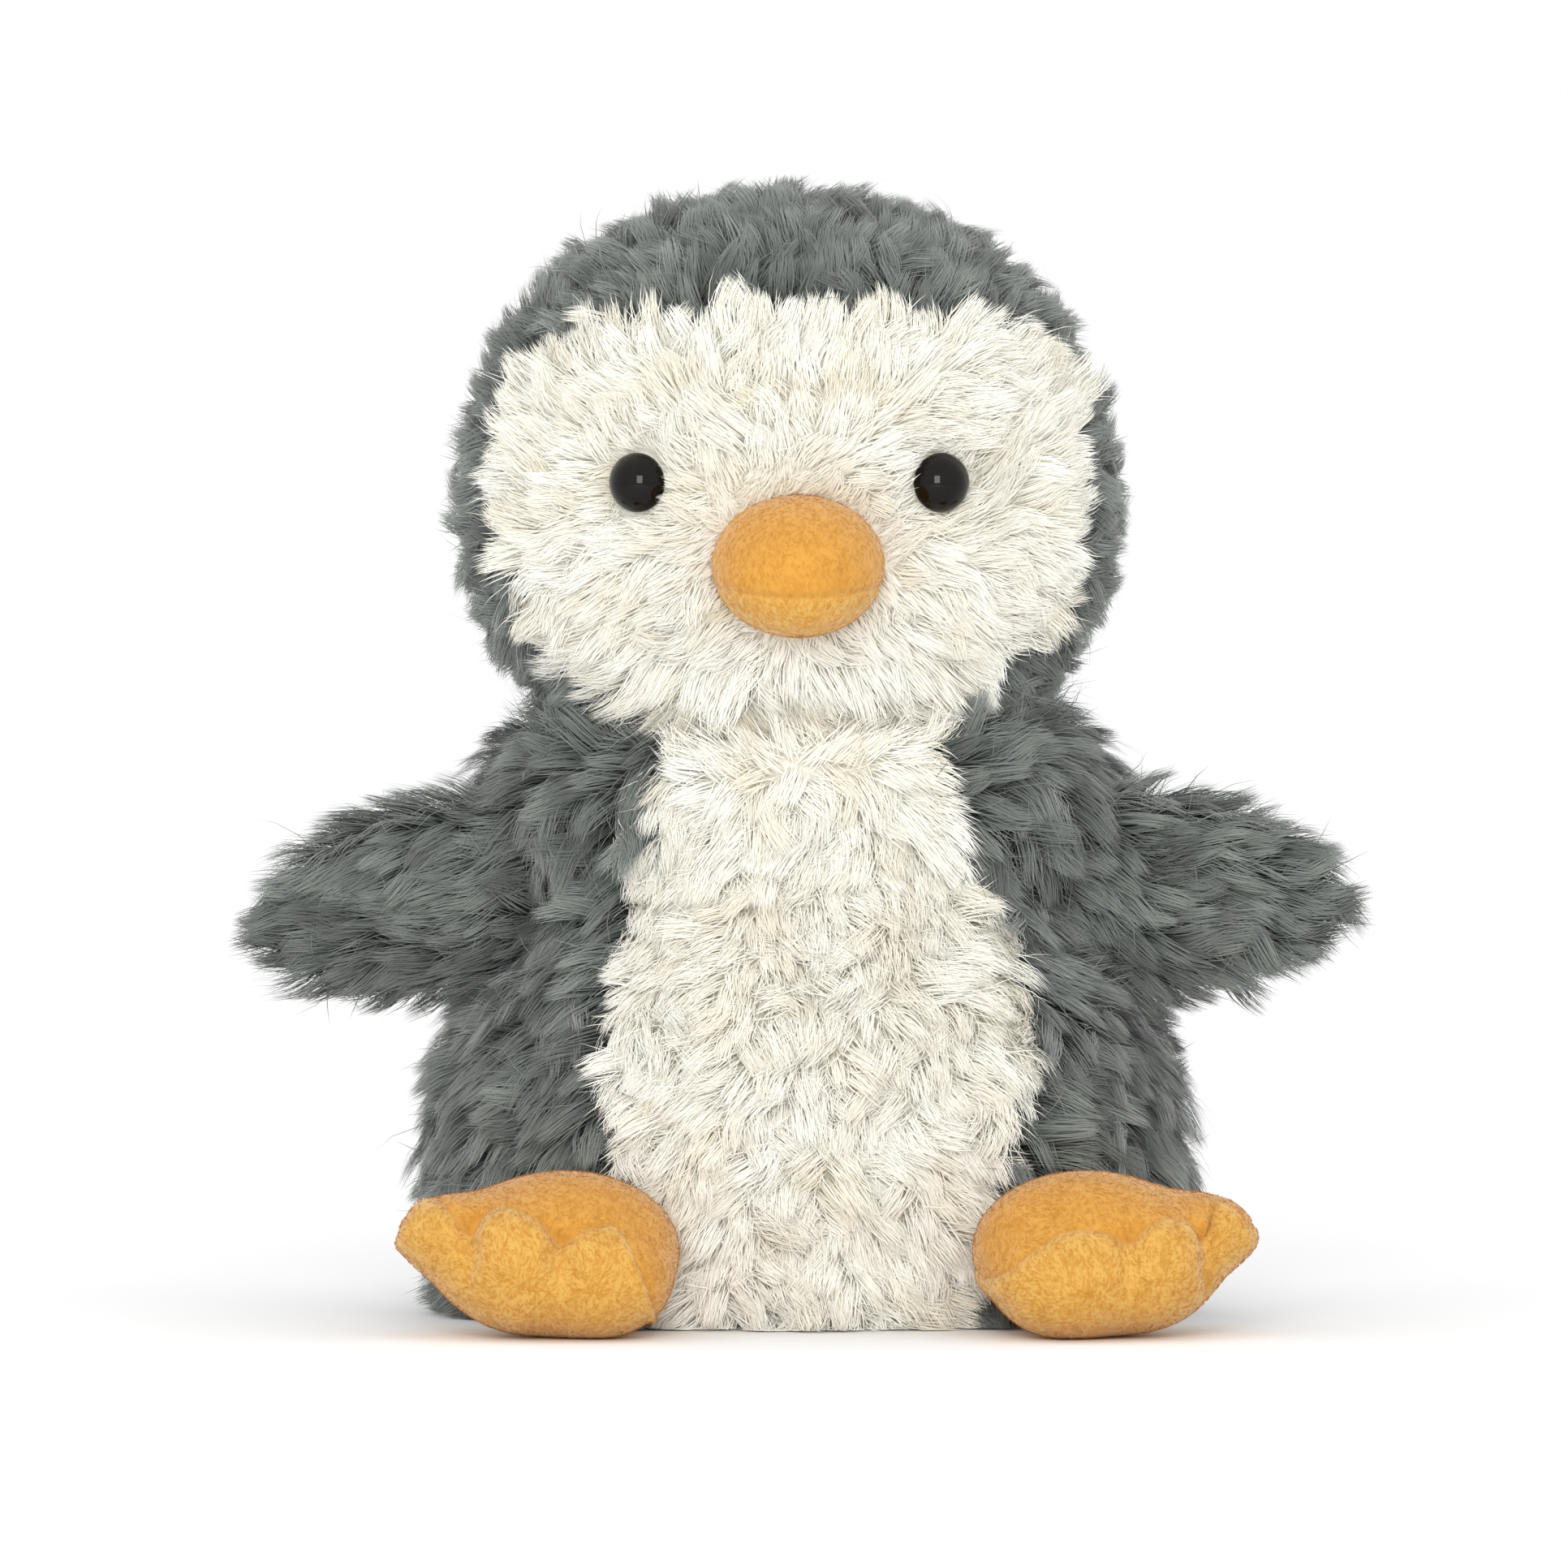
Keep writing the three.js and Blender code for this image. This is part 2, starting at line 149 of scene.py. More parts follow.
def vertex_normals(vertices, faces):
    cross = face_crosses(vertices, faces)
    normals = np.zeros_like(vertices)
    for k in range(3):
        np.add.at(normals, faces[:, k], cross)
    return unit(normals)


def relaxed(vertices, faces, rounds, strength=0.5):
    """Vertices moved towards the mean of their neighbours, which rounds off the CAD's flat facets."""
    edges = np.vstack([faces[:, [0, 1]], faces[:, [1, 2]], faces[:, [2, 0]]])
    edges = np.vstack([edges, edges[:, ::-1]])
    count = np.bincount(edges[:, 0], minlength=len(vertices))[:, None]
    out = vertices.copy()
    for turn in range(rounds * 2):
        total = np.zeros_like(out)
        np.add.at(total, edges[:, 0], out[edges[:, 1]])
        push = strength if turn % 2 == 0 else -strength * 1.03
        out += push * (total / count - out)
    return out


def closed_over(reach, faces, rounds):
    """Distances from the centre with narrow hollows, such as the gaps between panels, filled level."""
    edges = np.vstack([faces[:, [0, 1]], faces[:, [1, 2]], faces[:, [2, 0]]])
    edges = np.vstack([edges, edges[:, ::-1]])
    for _ in range(rounds):
        grown = reach.copy()
        np.maximum.at(grown, edges[:, 0], reach[edges[:, 1]])
        reach = grown
    for _ in range(rounds):
        cut = reach.copy()
        np.minimum.at(cut, edges[:, 0], reach[edges[:, 1]])
        reach = cut
    return reach


FAR_OUTSIDE = 0.3
GAP_ROUNDS = 4


def shrunk_onto(names, centre, level, rounds, adjust=None):
    """A smooth closed skin over the outside of some CAD nodes, from rays shot inwards at the centre."""
    vertices, faces, _ = node_triangles(names)
    tree = BVHTree.FromPolygons(vertices, faces)
    directions, skin_faces = icosphere(level)
    points = np.zeros_like(directions)
    for index, direction in enumerate(directions):
        outward = Vector(direction)
        start = Vector(centre) + outward * FAR_OUTSIDE
        hit, _, _, _ = tree.ray_cast(start, -outward)
        points[index] = hit if hit is not None else centre
    reach = closed_over(np.linalg.norm(points - centre, axis=1), skin_faces, GAP_ROUNDS)
    points = centre + directions * reach[:, None]
    if adjust is not None:
        points = adjust(points)
    return relaxed(points, skin_faces, rounds), skin_faces


# ---------------------------------------------------------------- materials


def new_material(name, roughness, specular, sheen=0.0):
    made = bpy.data.materials.new(name)
    made.use_nodes = True
    shader = made.node_tree.nodes["Principled BSDF"]
    shader.inputs["Roughness"].default_value = roughness
    shader.inputs["Specular IOR Level"].default_value = specular
    shader.inputs["Sheen Weight"].default_value = sheen
    shader.inputs["Sheen Roughness"].default_value = 0.5
    return made, made.node_tree.nodes, made.node_tree.links, shader


def ramp(nodes, stops):
    made = nodes.new("ShaderNodeValToRGB")
    elements = made.color_ramp.elements
    while len(elements) < len(stops):
        elements.new(0.5)
    for element, (place, colour) in zip(elements, stops):
        element.position = place
        element.color = colour
    return made


def multiplied(nodes, links, first, second):
    made = nodes.new("ShaderNodeMix")
    made.data_type = "RGBA"
    made.blend_type = "MULTIPLY"
    made.inputs["Factor"].default_value = 1
    links.new(first, made.inputs["A"])
    links.new(second, made.inputs["B"])
    return made.outputs["Result"]


def pile_material(name, along, across, sheen=0.25, sheen_tint=(1, 1, 1, 1)):
    """Strand colour: along the strand from root to tip, with painted shade at the root, times a tint that
    differs from tuft to tuft.
    """
    made, nodes, links, shader = new_material(name, 0.85, 0.15, sheen)
    shader.inputs["Sheen Tint"].default_value = sheen_tint
    place = nodes.new("ShaderNodeUVMap")
    place.uv_map = "OFBake"
    parts = nodes.new("ShaderNodeSeparateXYZ")
    links.new(place.outputs["UV"], parts.inputs[0])
    # Along the strand the colour darkens towards the root: painted shade deep in the pile.
    root_shade_ramp = ramp(nodes, along)
    tint_ramp = ramp(nodes, across)
    links.new(parts.outputs["Y"], root_shade_ramp.inputs["Fac"])
    links.new(parts.outputs["X"], tint_ramp.inputs["Fac"])
    colour = multiplied(nodes, links, root_shade_ramp.outputs["Color"], tint_ramp.outputs["Color"])
    links.new(colour, shader.inputs["Base Color"])
    return made


def cloth_material(name, dark, light, grain, bump, roughness=0.9, sheen=0.3):
    """Cloth or fibre: two tones mixed by fine noise, with the same noise as relief."""
    made, nodes, links, shader = new_material(name, roughness, 0.2, sheen)
    place = nodes.new("ShaderNodeTexCoord")
    fine = nodes.new("ShaderNodeTexNoise")
    fine.inputs["Scale"].default_value = grain
    fine.inputs["Detail"].default_value = 6
    links.new(place.outputs["Object"], fine.inputs["Vector"])
    tones = ramp(nodes, [(0.35, dark), (0.65, light)])
    links.new(fine.outputs["Fac"], tones.inputs["Fac"])
    links.new(tones.outputs["Color"], shader.inputs["Base Color"])
    relief = nodes.new("ShaderNodeBump")
    relief.inputs["Strength"].default_value = bump
    relief.inputs["Distance"].default_value = 0.0003
    links.new(fine.outputs["Fac"], relief.inputs["Height"])
    links.new(relief.outputs["Normal"], shader.inputs["Normal"])
    return made


def fleece_material(name, upper_dark, upper_light, lower_dark, lower_light, seam):
    """Short golden nap. The panel attribute picks the upper or lower cloth, and the seam attribute
    darkens the seam line with painted shade, as shade falls in the seam's crease."""
    made, nodes, links, shader = new_material(name, 0.88, 0.2, 0.35)
    place = nodes.new("ShaderNodeTexCoord")
    patches = nodes.new("ShaderNodeTexNoise")
    patches.inputs["Scale"].default_value = 160
    patches.inputs["Detail"].default_value = 5
    patches.inputs["Roughness"].default_value = 0.65
    links.new(place.outputs["Object"], patches.inputs["Vector"])
    panel = nodes.new("ShaderNodeAttribute")
    panel.attribute_name = "panel"
    line = nodes.new("ShaderNodeAttribute")
    line.attribute_name = "seam"
    tones = []
    for dark, light in ((upper_dark, upper_light), (lower_dark, lower_light)):
        tone = ramp(nodes, [(0.3, dark), (0.7, light)])
        links.new(patches.outputs["Fac"], tone.inputs["Fac"])
        tones.append(tone.outputs["Color"])
    choice = nodes.new("ShaderNodeMix")
    choice.data_type = "RGBA"
    links.new(panel.outputs["Fac"], choice.inputs["Factor"])
    links.new(tones[0], choice.inputs["A"])
    links.new(tones[1], choice.inputs["B"])
    # The seam line is darkened: painted shade in the seam's crease.
    seam_shaded = nodes.new("ShaderNodeMix")
    seam_shaded.data_type = "RGBA"
    links.new(line.outputs["Fac"], seam_shaded.inputs["Factor"])
    links.new(choice.outputs["Result"], seam_shaded.inputs["A"])
    seam_shaded.inputs["B"].default_value = seam
    links.new(seam_shaded.outputs["Result"], shader.inputs["Base Color"])
    fine = nodes.new("ShaderNodeTexNoise")
    fine.inputs["Scale"].default_value = 2200
    fine.inputs["Detail"].default_value = 3
    links.new(place.outputs["Object"], fine.inputs["Vector"])
    relief = nodes.new("ShaderNodeBump")
    relief.inputs["Strength"].default_value = 0.35
    relief.inputs["Distance"].default_value = 0.0002
    links.new(fine.outputs["Fac"], relief.inputs["Height"])
    links.new(relief.outputs["Normal"], shader.inputs["Normal"])
    return made


def grey_tint(value):
    return (value, value, value, 1.0)


# Cream strands are a little darker at the root: painted shade deep in the pile.
CREAM = pile_material(
    "cream_pile",
    [(0.0, srgb(239, 237, 229)), (0.4, srgb(242, 241, 236)), (1.0, srgb(245, 244, 240))],
    [(0.0, srgb(247, 243, 231)), (0.35, srgb(252, 250, 244)), (1.0, srgb(255, 255, 253))],
)
# Grey strands go from near black at the root to pale at the tip: the grey fibre's own tone, with painted
# shade deep in the pile and painted light on the tips.
GREY = pile_material(
    "grey_pile",
    [(0.0, srgb(38, 42, 39)), (0.4, srgb(94, 100, 95)), (1.0, srgb(156, 162, 156))],
    [(0.0, grey_tint(0.4)), (0.5, grey_tint(0.74)), (1.0, grey_tint(1.0))],
    sheen=0.6,
)
CREAM_BACKING = cloth_material("cream_backing", srgb(243, 239, 226), srgb(248, 245, 235), 900, 0.4)
# The grey backing is darker than the grey pile: partly the cloth's own grey, partly painted shade so the
# gaps between tufts look deep.
GREY_SHADE_BACKING = cloth_material("grey_shade_backing", srgb(48, 52, 50), srgb(66, 70, 67), 900, 0.4)
GOLDEN = fleece_material(
    "golden_nap",
    srgb(198, 142, 56),
    srgb(206, 150, 62),
    srgb(202, 156, 74),
    srgb(210, 166, 84),
    # The seam colour: painted shade for the crease along the seam.
    srgb(178, 122, 48),
)
# Golden fibres are a little darker at the root: painted shade under the nap.
GOLDEN_NAP = pile_material(
    "golden_nap_fibre",
    [(0.0, srgb(200, 144, 58)), (1.0, srgb(213, 158, 71))],
    [(0.0, srgb(242, 232, 216)), (0.5, srgb(249, 242, 230)), (1.0, srgb(255, 252, 244))],
    sheen=1.0,
    sheen_tint=srgb(255, 200, 110),
)
FIBRE = cloth_material("fibre_filling", srgb(214, 214, 210), srgb(240, 240, 238), 1500, 0.9)
POUCH_CLOTH = cloth_material("pouch_cloth", srgb(196, 190, 176), srgb(220, 214, 200), 3000, 0.6)
PELLETS = cloth_material("pellets", srgb(206, 210, 214), srgb(236, 238, 240), 700, 1.0, 0.4, 0.0)
WASHER = cloth_material("washer_plastic", srgb(206, 206, 202), srgb(222, 222, 218), 500, 0.15, 0.45, 0.0)


def eye_material():
    made, nodes, links, shader = new_material("eye_plastic", 0.05, 0.22)
    shader.inputs["IOR"].default_value = 1.5
    place = nodes.new("ShaderNodeTexCoord")
    haze = nodes.new("ShaderNodeTexNoise")
    haze.inputs["Scale"].default_value = 260
    links.new(place.outputs["Object"], haze.inputs["Vector"])
    tones = ramp(nodes, [(0.3, srgb(8, 5, 3)), (0.8, srgb(18, 12, 8))])
    links.new(haze.outputs["Fac"], tones.inputs["Fac"])
    links.new(tones.outputs["Color"], shader.inputs["Base Color"])
    return made


EYE_PLASTIC = eye_material()


# ---------------------------------------------------------------- long pile

MAX_STRANDS_PER_PIECE = 36000
CANDIDATES_PER_TUFT = 3.2
SWIRL_SIZE = 0.017
SHADE_SIZE = 0.014
LOWEST_TIP = 0.0003
GREY_LENGTH = 1.12
GREY_DENSITY = 0.76  # grey strands are wider than cream ones, so fewer cover the cloth

# How cream and grey pile differ, cream first.
STRAND_WIDTH = (0.00018, 0.0002)
CLUMPING = (0.36, 0.6)
STRAY_SHARE = (0.12, 0.035)
TUFT_ROUNDNESS = (0.2, 0.34)

# A strand's path: share of its length, height off the skin and distance along it, and width.
TIMES = np.array([0.0, 0.34, 0.68, 1.0])
RISE = np.array([0.0, 0.32, 0.52, 0.62])
RUN = np.array([0.0, 0.16, 0.44, 0.78])
TAPER = np.array([0.85, 1.0, 0.72, 0.0])


def scattered(vertices, faces, per_mm2, keep):
    """Random points on the skin with their normals, on the triangles that keep picks."""
    chosen = faces[keep]
    area = np.linalg.norm(face_crosses(vertices, chosen), axis=1) / 2
    count = int(area.sum() / MM**2 * per_mm2)
    picks = rng.choice(len(chosen), count, p=area / area.sum())
    first = np.sqrt(rng.random(count))[:, None]
    second = rng.random(count)[:, None]
    weights = (1 - first, first * (1 - second), first * second)
    normals = vertex_normals(vertices, faces)
    points = sum(w * vertices[chosen[picks, k]] for k, w in enumerate(weights))
    facing = sum(w * normals[chosen[picks, k]] for k, w in enumerate(weights))
    return points, unit(facing)


def spaced(points, spacing):
    """Indices of points that lie at least spacing apart."""
    taken, kept = {}, []
    cells = np.floor(points / spacing).astype(int)
    for index, (cell, point) in enumerate(zip(map(tuple, cells), points)):
        near = (
            other
            for dx in (-1, 0, 1)
            for dy in (-1, 0, 1)
            for dz in (-1, 0, 1)
            for other in taken.get((cell[0] + dx, cell[1] + dy, cell[2] + dz), ())
        )
        if all(np.dot(point - points[o], point - points[o]) > spacing**2 for o in near):
            taken.setdefault(cell, []).append(index)
            kept.append(index)
    return np.array(kept)


def on_surface(directions, normals):
    """Directions laid into the surface."""
    along = (directions * normals).sum(1, keepdims=True)
    return unit(directions - along * normals)


def turned_about(directions, normals, angles):
    c, s = np.cos(angles)[:, None], np.sin(angles)[:, None]
    return directions * c + np.cross(normals, directions) * s


def strand_paths(roots, normals, flows, lengths, rise, run):
    return (
        roots[:, None, :]
        + normals[:, None, :] * (lengths * rise)[:, None, None] * RISE[None, :, None]
        + flows[:, None, :] * (lengths * run)[:, None, None] * RUN[None, :, None]
    )


def ribbon_piece(name, paths, normals, facing, widths, shades, material, body):
    """One mesh of flat tapering strands. facing is the shading normal of each strand."""
    count = len(paths)
    heading = unit(paths[:, 3] - paths[:, 0])
    across = unit(np.cross(heading, normals))
    roll = rng.uniform(-0.35, 0.35, count)
    across = turned_about(across, heading, roll)
    # A strand whose shading normal is far from its own flat side would turn black at the outline.
    facing = unit(0.6 * facing + 0.6 * np.cross(across, heading))
    sideways = across[:, None, :] * widths[:, None, None] * TAPER[None, :, None] / 2
    vertices = np.empty((count, 7, 3), np.float32)
    for k in range(3):
        vertices[:, 2 * k] = paths[:, k] - sideways[:, k]
        vertices[:, 2 * k + 1] = paths[:, k] + sideways[:, k]
    vertices[:, 6] = paths[:, 3]
    corners = np.array([0, 1, 3, 2, 2, 3, 5, 4, 4, 5, 6])
    loops = (np.arange(count)[:, None] * 7 + corners[None, :]).astype(np.int32)
    starts = (np.arange(count)[:, None] * 11 + np.array([0, 4, 8])[None, :]).astype(np.int32)
    mesh = bpy.data.meshes.new(name)
    mesh.vertices.add(count * 7)
    mesh.vertices.foreach_set("co", vertices.ravel())
    mesh.loops.add(count * 11)
    mesh.loops.foreach_set("vertex_index", loops.ravel())
    mesh.polygons.add(count * 3)
    mesh.polygons.foreach_set("loop_start", starts.ravel())
    mesh.polygons.foreach_set("use_smooth", np.ones(count * 3, bool))
    mesh.update(calc_edges=True)
    heights = TIMES[[0, 0, 1, 1, 1, 1, 2, 2, 2, 2, 3]]
    side_step = np.array([-1, 1, 1, -1, -1, 1, 1, -1, -1, 1, 0]) * 0.004
    uv = np.empty((count, 11, 2), np.float32)
    uv[:, :, 0] = np.clip(shades[:, None] + side_step[None, :], 0.001, 0.999)
    uv[:, :, 1] = np.clip(heights, 0.002, 0.998)[None, :]
    mesh.uv_layers.new(name="OFBake").data.foreach_set("uv", uv.ravel())
    shading = mesh.attributes.new("custom_normal", "FLOAT_VECTOR", "POINT")
    shading.data.foreach_set("vector", np.repeat(facing, 7, axis=0).astype(np.float32).ravel())
    mesh.materials.append(material)
    made = bpy.data.objects.new(name, mesh)
    bpy.context.scene.collection.objects.link(made)
    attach(made, body)
    return made


def inside_out(points, tree, gap, low, high):
    """Points that lie inside a closed skin, moved out to its surface."""
    near = np.all((points > low - gap) & (points < high + gap), axis=1)
    for index in np.flatnonzero(near):
        spot = Vector(points[index])
        found, normal, _, _ = tree.find_nearest(spot)
        if found is not None and (spot - found).dot(normal) < gap:
            points[index] = found + normal * gap
    return points


class Panels:
    """Which CAD panel a point belongs to."""

    def __init__(self, names):
        self.names = names
        vertices, faces, self.owners = node_triangles(names)
        self.tree = BVHTree.FromPolygons(vertices, faces)

    def of(self, points):
        return np.array([self.owners[self.tree.find_nearest(Vector(p))[2]] for p in points])


def make_tufts(part):
    """Where tufts stand, how each one leans and how long it is, and the panel that each belongs to."""
    vertices, faces = part["vertices"], part["faces"]
    panels = part.get("pile_panels", part["panels"])
    keep = part["grows"](vertices[faces].mean(axis=1), unit(face_crosses(vertices, faces)))
    spacing = part["spacing"]
    seeds, normals = scattered(vertices, faces, CANDIDATES_PER_TUFT / (spacing / MM) ** 2, keep)
    chosen = spaced(seeds, spacing)
    seeds, normals = seeds[chosen], normals[chosen]
    count = len(seeds)
    flows = on_surface(part["flow"](seeds, normals), normals)
    swirl = part["swirl"] * wobble(seeds, SWIRL_SIZE, part["seed"]) + rng.normal(0, part["jitter"], count)
    flows = turned_about(flows, normals, swirl)
    lengths = part["length"](seeds) * rng.uniform(0.82, 1.16, count)
    rise = rng.uniform(0.75, 1.25, count) * part["rise"]
    run = rng.uniform(0.8, 1.2, count) * part["run"]
    # A tuft takes its colour from the panel its tip lies over, so a seam's edge is ragged like real pile.
    tips = seeds + normals * (lengths * 0.3)[:, None] + flows * (lengths * part["overhang"])[:, None]
    owners = panels.of(tips + part["border"](seeds))
    cream = np.array([part["looks"][name][0] is CREAM for name in panels.names])[owners]
    cream_length, cream_rise, cream_run = part["cream"]
    shade = 0.5 + 0.32 * wobble(seeds, SHADE_SIZE, part["seed"] + 5) + rng.normal(0, 0.16, count)
    return SimpleNamespace(
        keep=keep,
        panels=panels,
        seeds=seeds,
        normals=normals,
        flows=flows,
        lengths=lengths * np.where(cream, cream_length, GREY_LENGTH),
        rise=rise * np.where(cream, cream_rise, 1.0),
        run=run * np.where(cream, cream_run, 1.0),
        owners=owners,
        cream=cream,
        shade=shade,
    )


def nearest_tufts(tufts, roots, blur):
    """The tuft that each root belongs to. The blur mixes neighbouring tufts at their edges."""
    tree = KDTree(len(tufts.seeds))
    for index, seed in enumerate(tufts.seeds):
        tree.insert(Vector(seed), index)
    tree.balance()
    blurred = roots + rng.normal(0, blur, roots.shape)
    return np.array([tree.find(Vector(p))[1] for p in blurred])


def grow_pile(part):
    """Tufted long pile on a skin. The strands of a tuft share its flow, length, shade and panel, and lean
    together towards its tip, apart from a few strays."""
    tufts = make_tufts(part)
    spacing = part["spacing"]
    roots, normals = scattered(part["vertices"], part["faces"], part["per_mm2"], tufts.keep)
    nearest = nearest_tufts(tufts, roots, spacing * 0.3)
    wanted = tufts.cream[nearest] | (rng.random(len(roots)) < GREY_DENSITY)
    roots, normals, nearest = roots[wanted], normals[wanted], nearest[wanted]
    count = len(roots)
    cream = tufts.cream[nearest]
    strays = rng.random(count) < np.where(cream, *STRAY_SHARE)
    flows = on_surface(tufts.flows[nearest], normals)
    flows = turned_about(flows, normals, rng.normal(0, np.where(strays, 0.7, 0.16)))
    lengths = tufts.lengths[nearest] * rng.uniform(0.8, 1.1, count)
    rise = tufts.rise[nearest] * np.where(strays, rng.uniform(0.9, 1.25, count), 1.0)
    own = strand_paths(roots, normals, flows, lengths, rise, tufts.run[nearest])
    middle = strand_paths(
        tufts.seeds[nearest],
        tufts.normals[nearest],
        tufts.flows[nearest],
        tufts.lengths[nearest],
        tufts.rise[nearest],
        tufts.run[nearest],
    )
    pull = np.where(strays, 0.0, np.where(cream, *CLUMPING) + rng.uniform(-0.3, 0.2, count))
    share = pull[:, None] * TIMES[None, :] ** 1.35
    paths = own * (1 - share[:, :, None]) + middle * share[:, :, None]
    offset = (roots - tufts.seeds[nearest]) / spacing
    roundness = np.where(cream, *TUFT_ROUNDNESS)[:, None]
    shading = unit(normals + roundness * offset + rng.normal(0, 0.06, roots.shape))
    widths = np.where(cream, *STRAND_WIDTH) * np.where(strays, 0.7, 1.0)
    widths *= rng.uniform(0.75, 1.25, count)
    shades = np.clip(tufts.shade[nearest] + rng.normal(0, 0.06, count), 0.01, 0.99)

    good = part["clear"](roots, paths)
    for tree_about, gap, low, high in part["keep_out"]:
        for step in (1, 2, 3):
            paths[:, step] = inside_out(paths[:, step], tree_about, gap, low, high)
    paths[:, :, 2] = np.maximum(paths[:, :, 2], LOWEST_TIP)
    owner = tufts.owners[nearest]
    for index, name in enumerate(tufts.panels.names):
        material, slot = part["looks"][name]
        members = np.flatnonzero(good & (owner == index))
        for piece, start in enumerate(range(0, len(members), MAX_STRANDS_PER_PIECE)):
            some = members[start : start + MAX_STRANDS_PER_PIECE]
            ribbon_piece(
                f"{name}_pile_{piece + 1}",
                paths[some],
                normals[some],
                shading[some],
                widths[some],
                shades[some],
                material,
                part["body"],
            )


def backing_pieces(part, extra):
    """The cloth under the pile, one piece for each CAD panel that it stands for."""
    vertices, faces, panels = part["vertices"], part["faces"], part["panels"]
    owner = panels.of(vertices[faces].mean(axis=1))
    for index, name in enumerate(panels.names):
        own = faces[owner == index]
        used, inverse = np.unique(own, return_inverse=True)
        made = mesh_object(f"{name}_backing", vertices[used], inverse.reshape(own.shape))
        material, slot = part["looks"][name]
        # Under grey pile the backing is dark: painted shade in the gaps between tufts.
        made.data.materials.append(CREAM_BACKING if material is CREAM else GREY_SHADE_BACKING)
        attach(made, part["body"])
        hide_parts(name, *(extra if index == 0 else ()))


# ---------------------------------------------------------------- golden parts


PUFF_FRAMES = 20
PUFF_PRESSURE = 3.0
PUFF_LIMIT = 0.0006
LOWEST_GOLDEN = 0.0003


def inflated(vertices, faces, pinned):
    """The skin after a short pressure simulation, as stuffing would puff it, moved at most PUFF_LIMIT."""
    made = mesh_object("inflating", vertices, faces)
    group = made.vertex_groups.new(name="pinned")
    for index, weight in enumerate(pinned):
        if weight > 0.01:
            group.add([index], float(min(weight, 1)), "REPLACE")
    cloth = made.modifiers.new("cloth", "CLOTH")
    settings = cloth.settings
    settings.quality = 5
    settings.mass = 0.3
    settings.tension_stiffness = 20
    settings.compression_stiffness = 20
    settings.shear_stiffness = 8
    settings.bending_stiffness = 0.4
    settings.use_pressure = True
    settings.uniform_pressure_force = PUFF_PRESSURE
    settings.vertex_group_mass = "pinned"
    settings.effector_weights.gravity = 0
    cloth.collision_settings.use_collision = False
    cloth.point_cache.frame_start = 1
    cloth.point_cache.frame_end = PUFF_FRAMES
    for step in range(1, PUFF_FRAMES + 1):
        bpy.context.scene.frame_set(step)
    evaluated = made.evaluated_get(bpy.context.evaluated_depsgraph_get())
    puffed = np.array([v.co for v in evaluated.data.vertices], float).reshape(-1, 3)
    bpy.context.scene.frame_set(1)
    bpy.data.objects.remove(made)
    move = puffed - vertices
    size = np.linalg.norm(move, axis=1, keepdims=True)
    return vertices + move * np.minimum(1, PUFF_LIMIT / np.maximum(size, 1e-9))


def subdivided(vertices, faces):
    made = mesh_object("subdividing", vertices, faces)
    made.modifiers.new("subdivision", "SUBSURF").levels = 1
    evaluated = made.evaluated_get(bpy.context.evaluated_depsgraph_get())
    mesh = evaluated.to_mesh()
    mesh.calc_loop_triangles()
    points = np.array([v.co for v in mesh.vertices], float).reshape(-1, 3)
    triangles = np.array([t.vertices for t in mesh.loop_triangles], int)
    evaluated.to_mesh_clear()
    bpy.data.objects.remove(made)
    return points, triangles


def add_attribute(made, name, values):
    layer = made.data.attributes.new(name, "FLOAT", "POINT")
    layer.data.foreach_set("value", np.asarray(values, np.float32))


def golden_piece(name, vertices, faces, split, creases, body, stands_for):
    """A short-pile skin with its seam pressed in, carried by body."""
    normals = vertex_normals(vertices, faces)
    seam = np.exp(-((split / 0.0004) ** 2))
    vertices = vertices - normals * (0.00025 * np.exp(-((split / 0.0006) ** 2)) + creases)[:, None]
    made = mesh_object(name, vertices, faces)
    add_attribute(made, "panel", smoothstep(-0.0008, 0.0008, split))
    # The seam attribute marks where painted shade darkens the seam's crease.
    add_attribute(made, "seam", 0.35 * seam)
    made.data.materials.append(GOLDEN)
    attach(made, body)
    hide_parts(*stands_for)
    return vertices


def nap(name, vertices, faces, flow, body, per_mm2, length, seed):
    """Short fibres lying over a golden skin."""
    roots, normals = scattered(vertices, faces, per_mm2, np.ones(len(faces), bool))
    flows = on_surface(flow(roots, normals), normals)
    turn = 0.6 * wobble(roots, 0.006, seed) + rng.normal(0, 0.35, len(roots))
    flows = turned_about(flows, normals, turn)
    lengths = length * rng.uniform(0.7, 1.25, len(roots))
    paths = strand_paths(roots - normals * 0.0001, normals, flows, lengths, 0.4, 1.15)
    paths[:, :, 2] = np.maximum(paths[:, :, 2], 0.0002)
    shading = unit(normals + rng.normal(0, 0.12, roots.shape))
    widths = 0.00012 * rng.uniform(0.7, 1.3, len(roots))
    shades = 0.5 + 0.2 * wobble(roots, 0.004, seed + 3) + rng.normal(0, 0.12, len(roots))
    shades = np.clip(shades, 0.01, 0.99)
    for piece, start in enumerate(range(0, len(roots), MAX_STRANDS_PER_PIECE)):
        some = slice(start, start + MAX_STRANDS_PER_PIECE)
        ribbon_piece(
            f"{name}_{piece + 1}",
            paths[some],
            normals[some],
            shading[some],
            widths[some],
            shades[some],
            GOLDEN_NAP,
            body,
        )


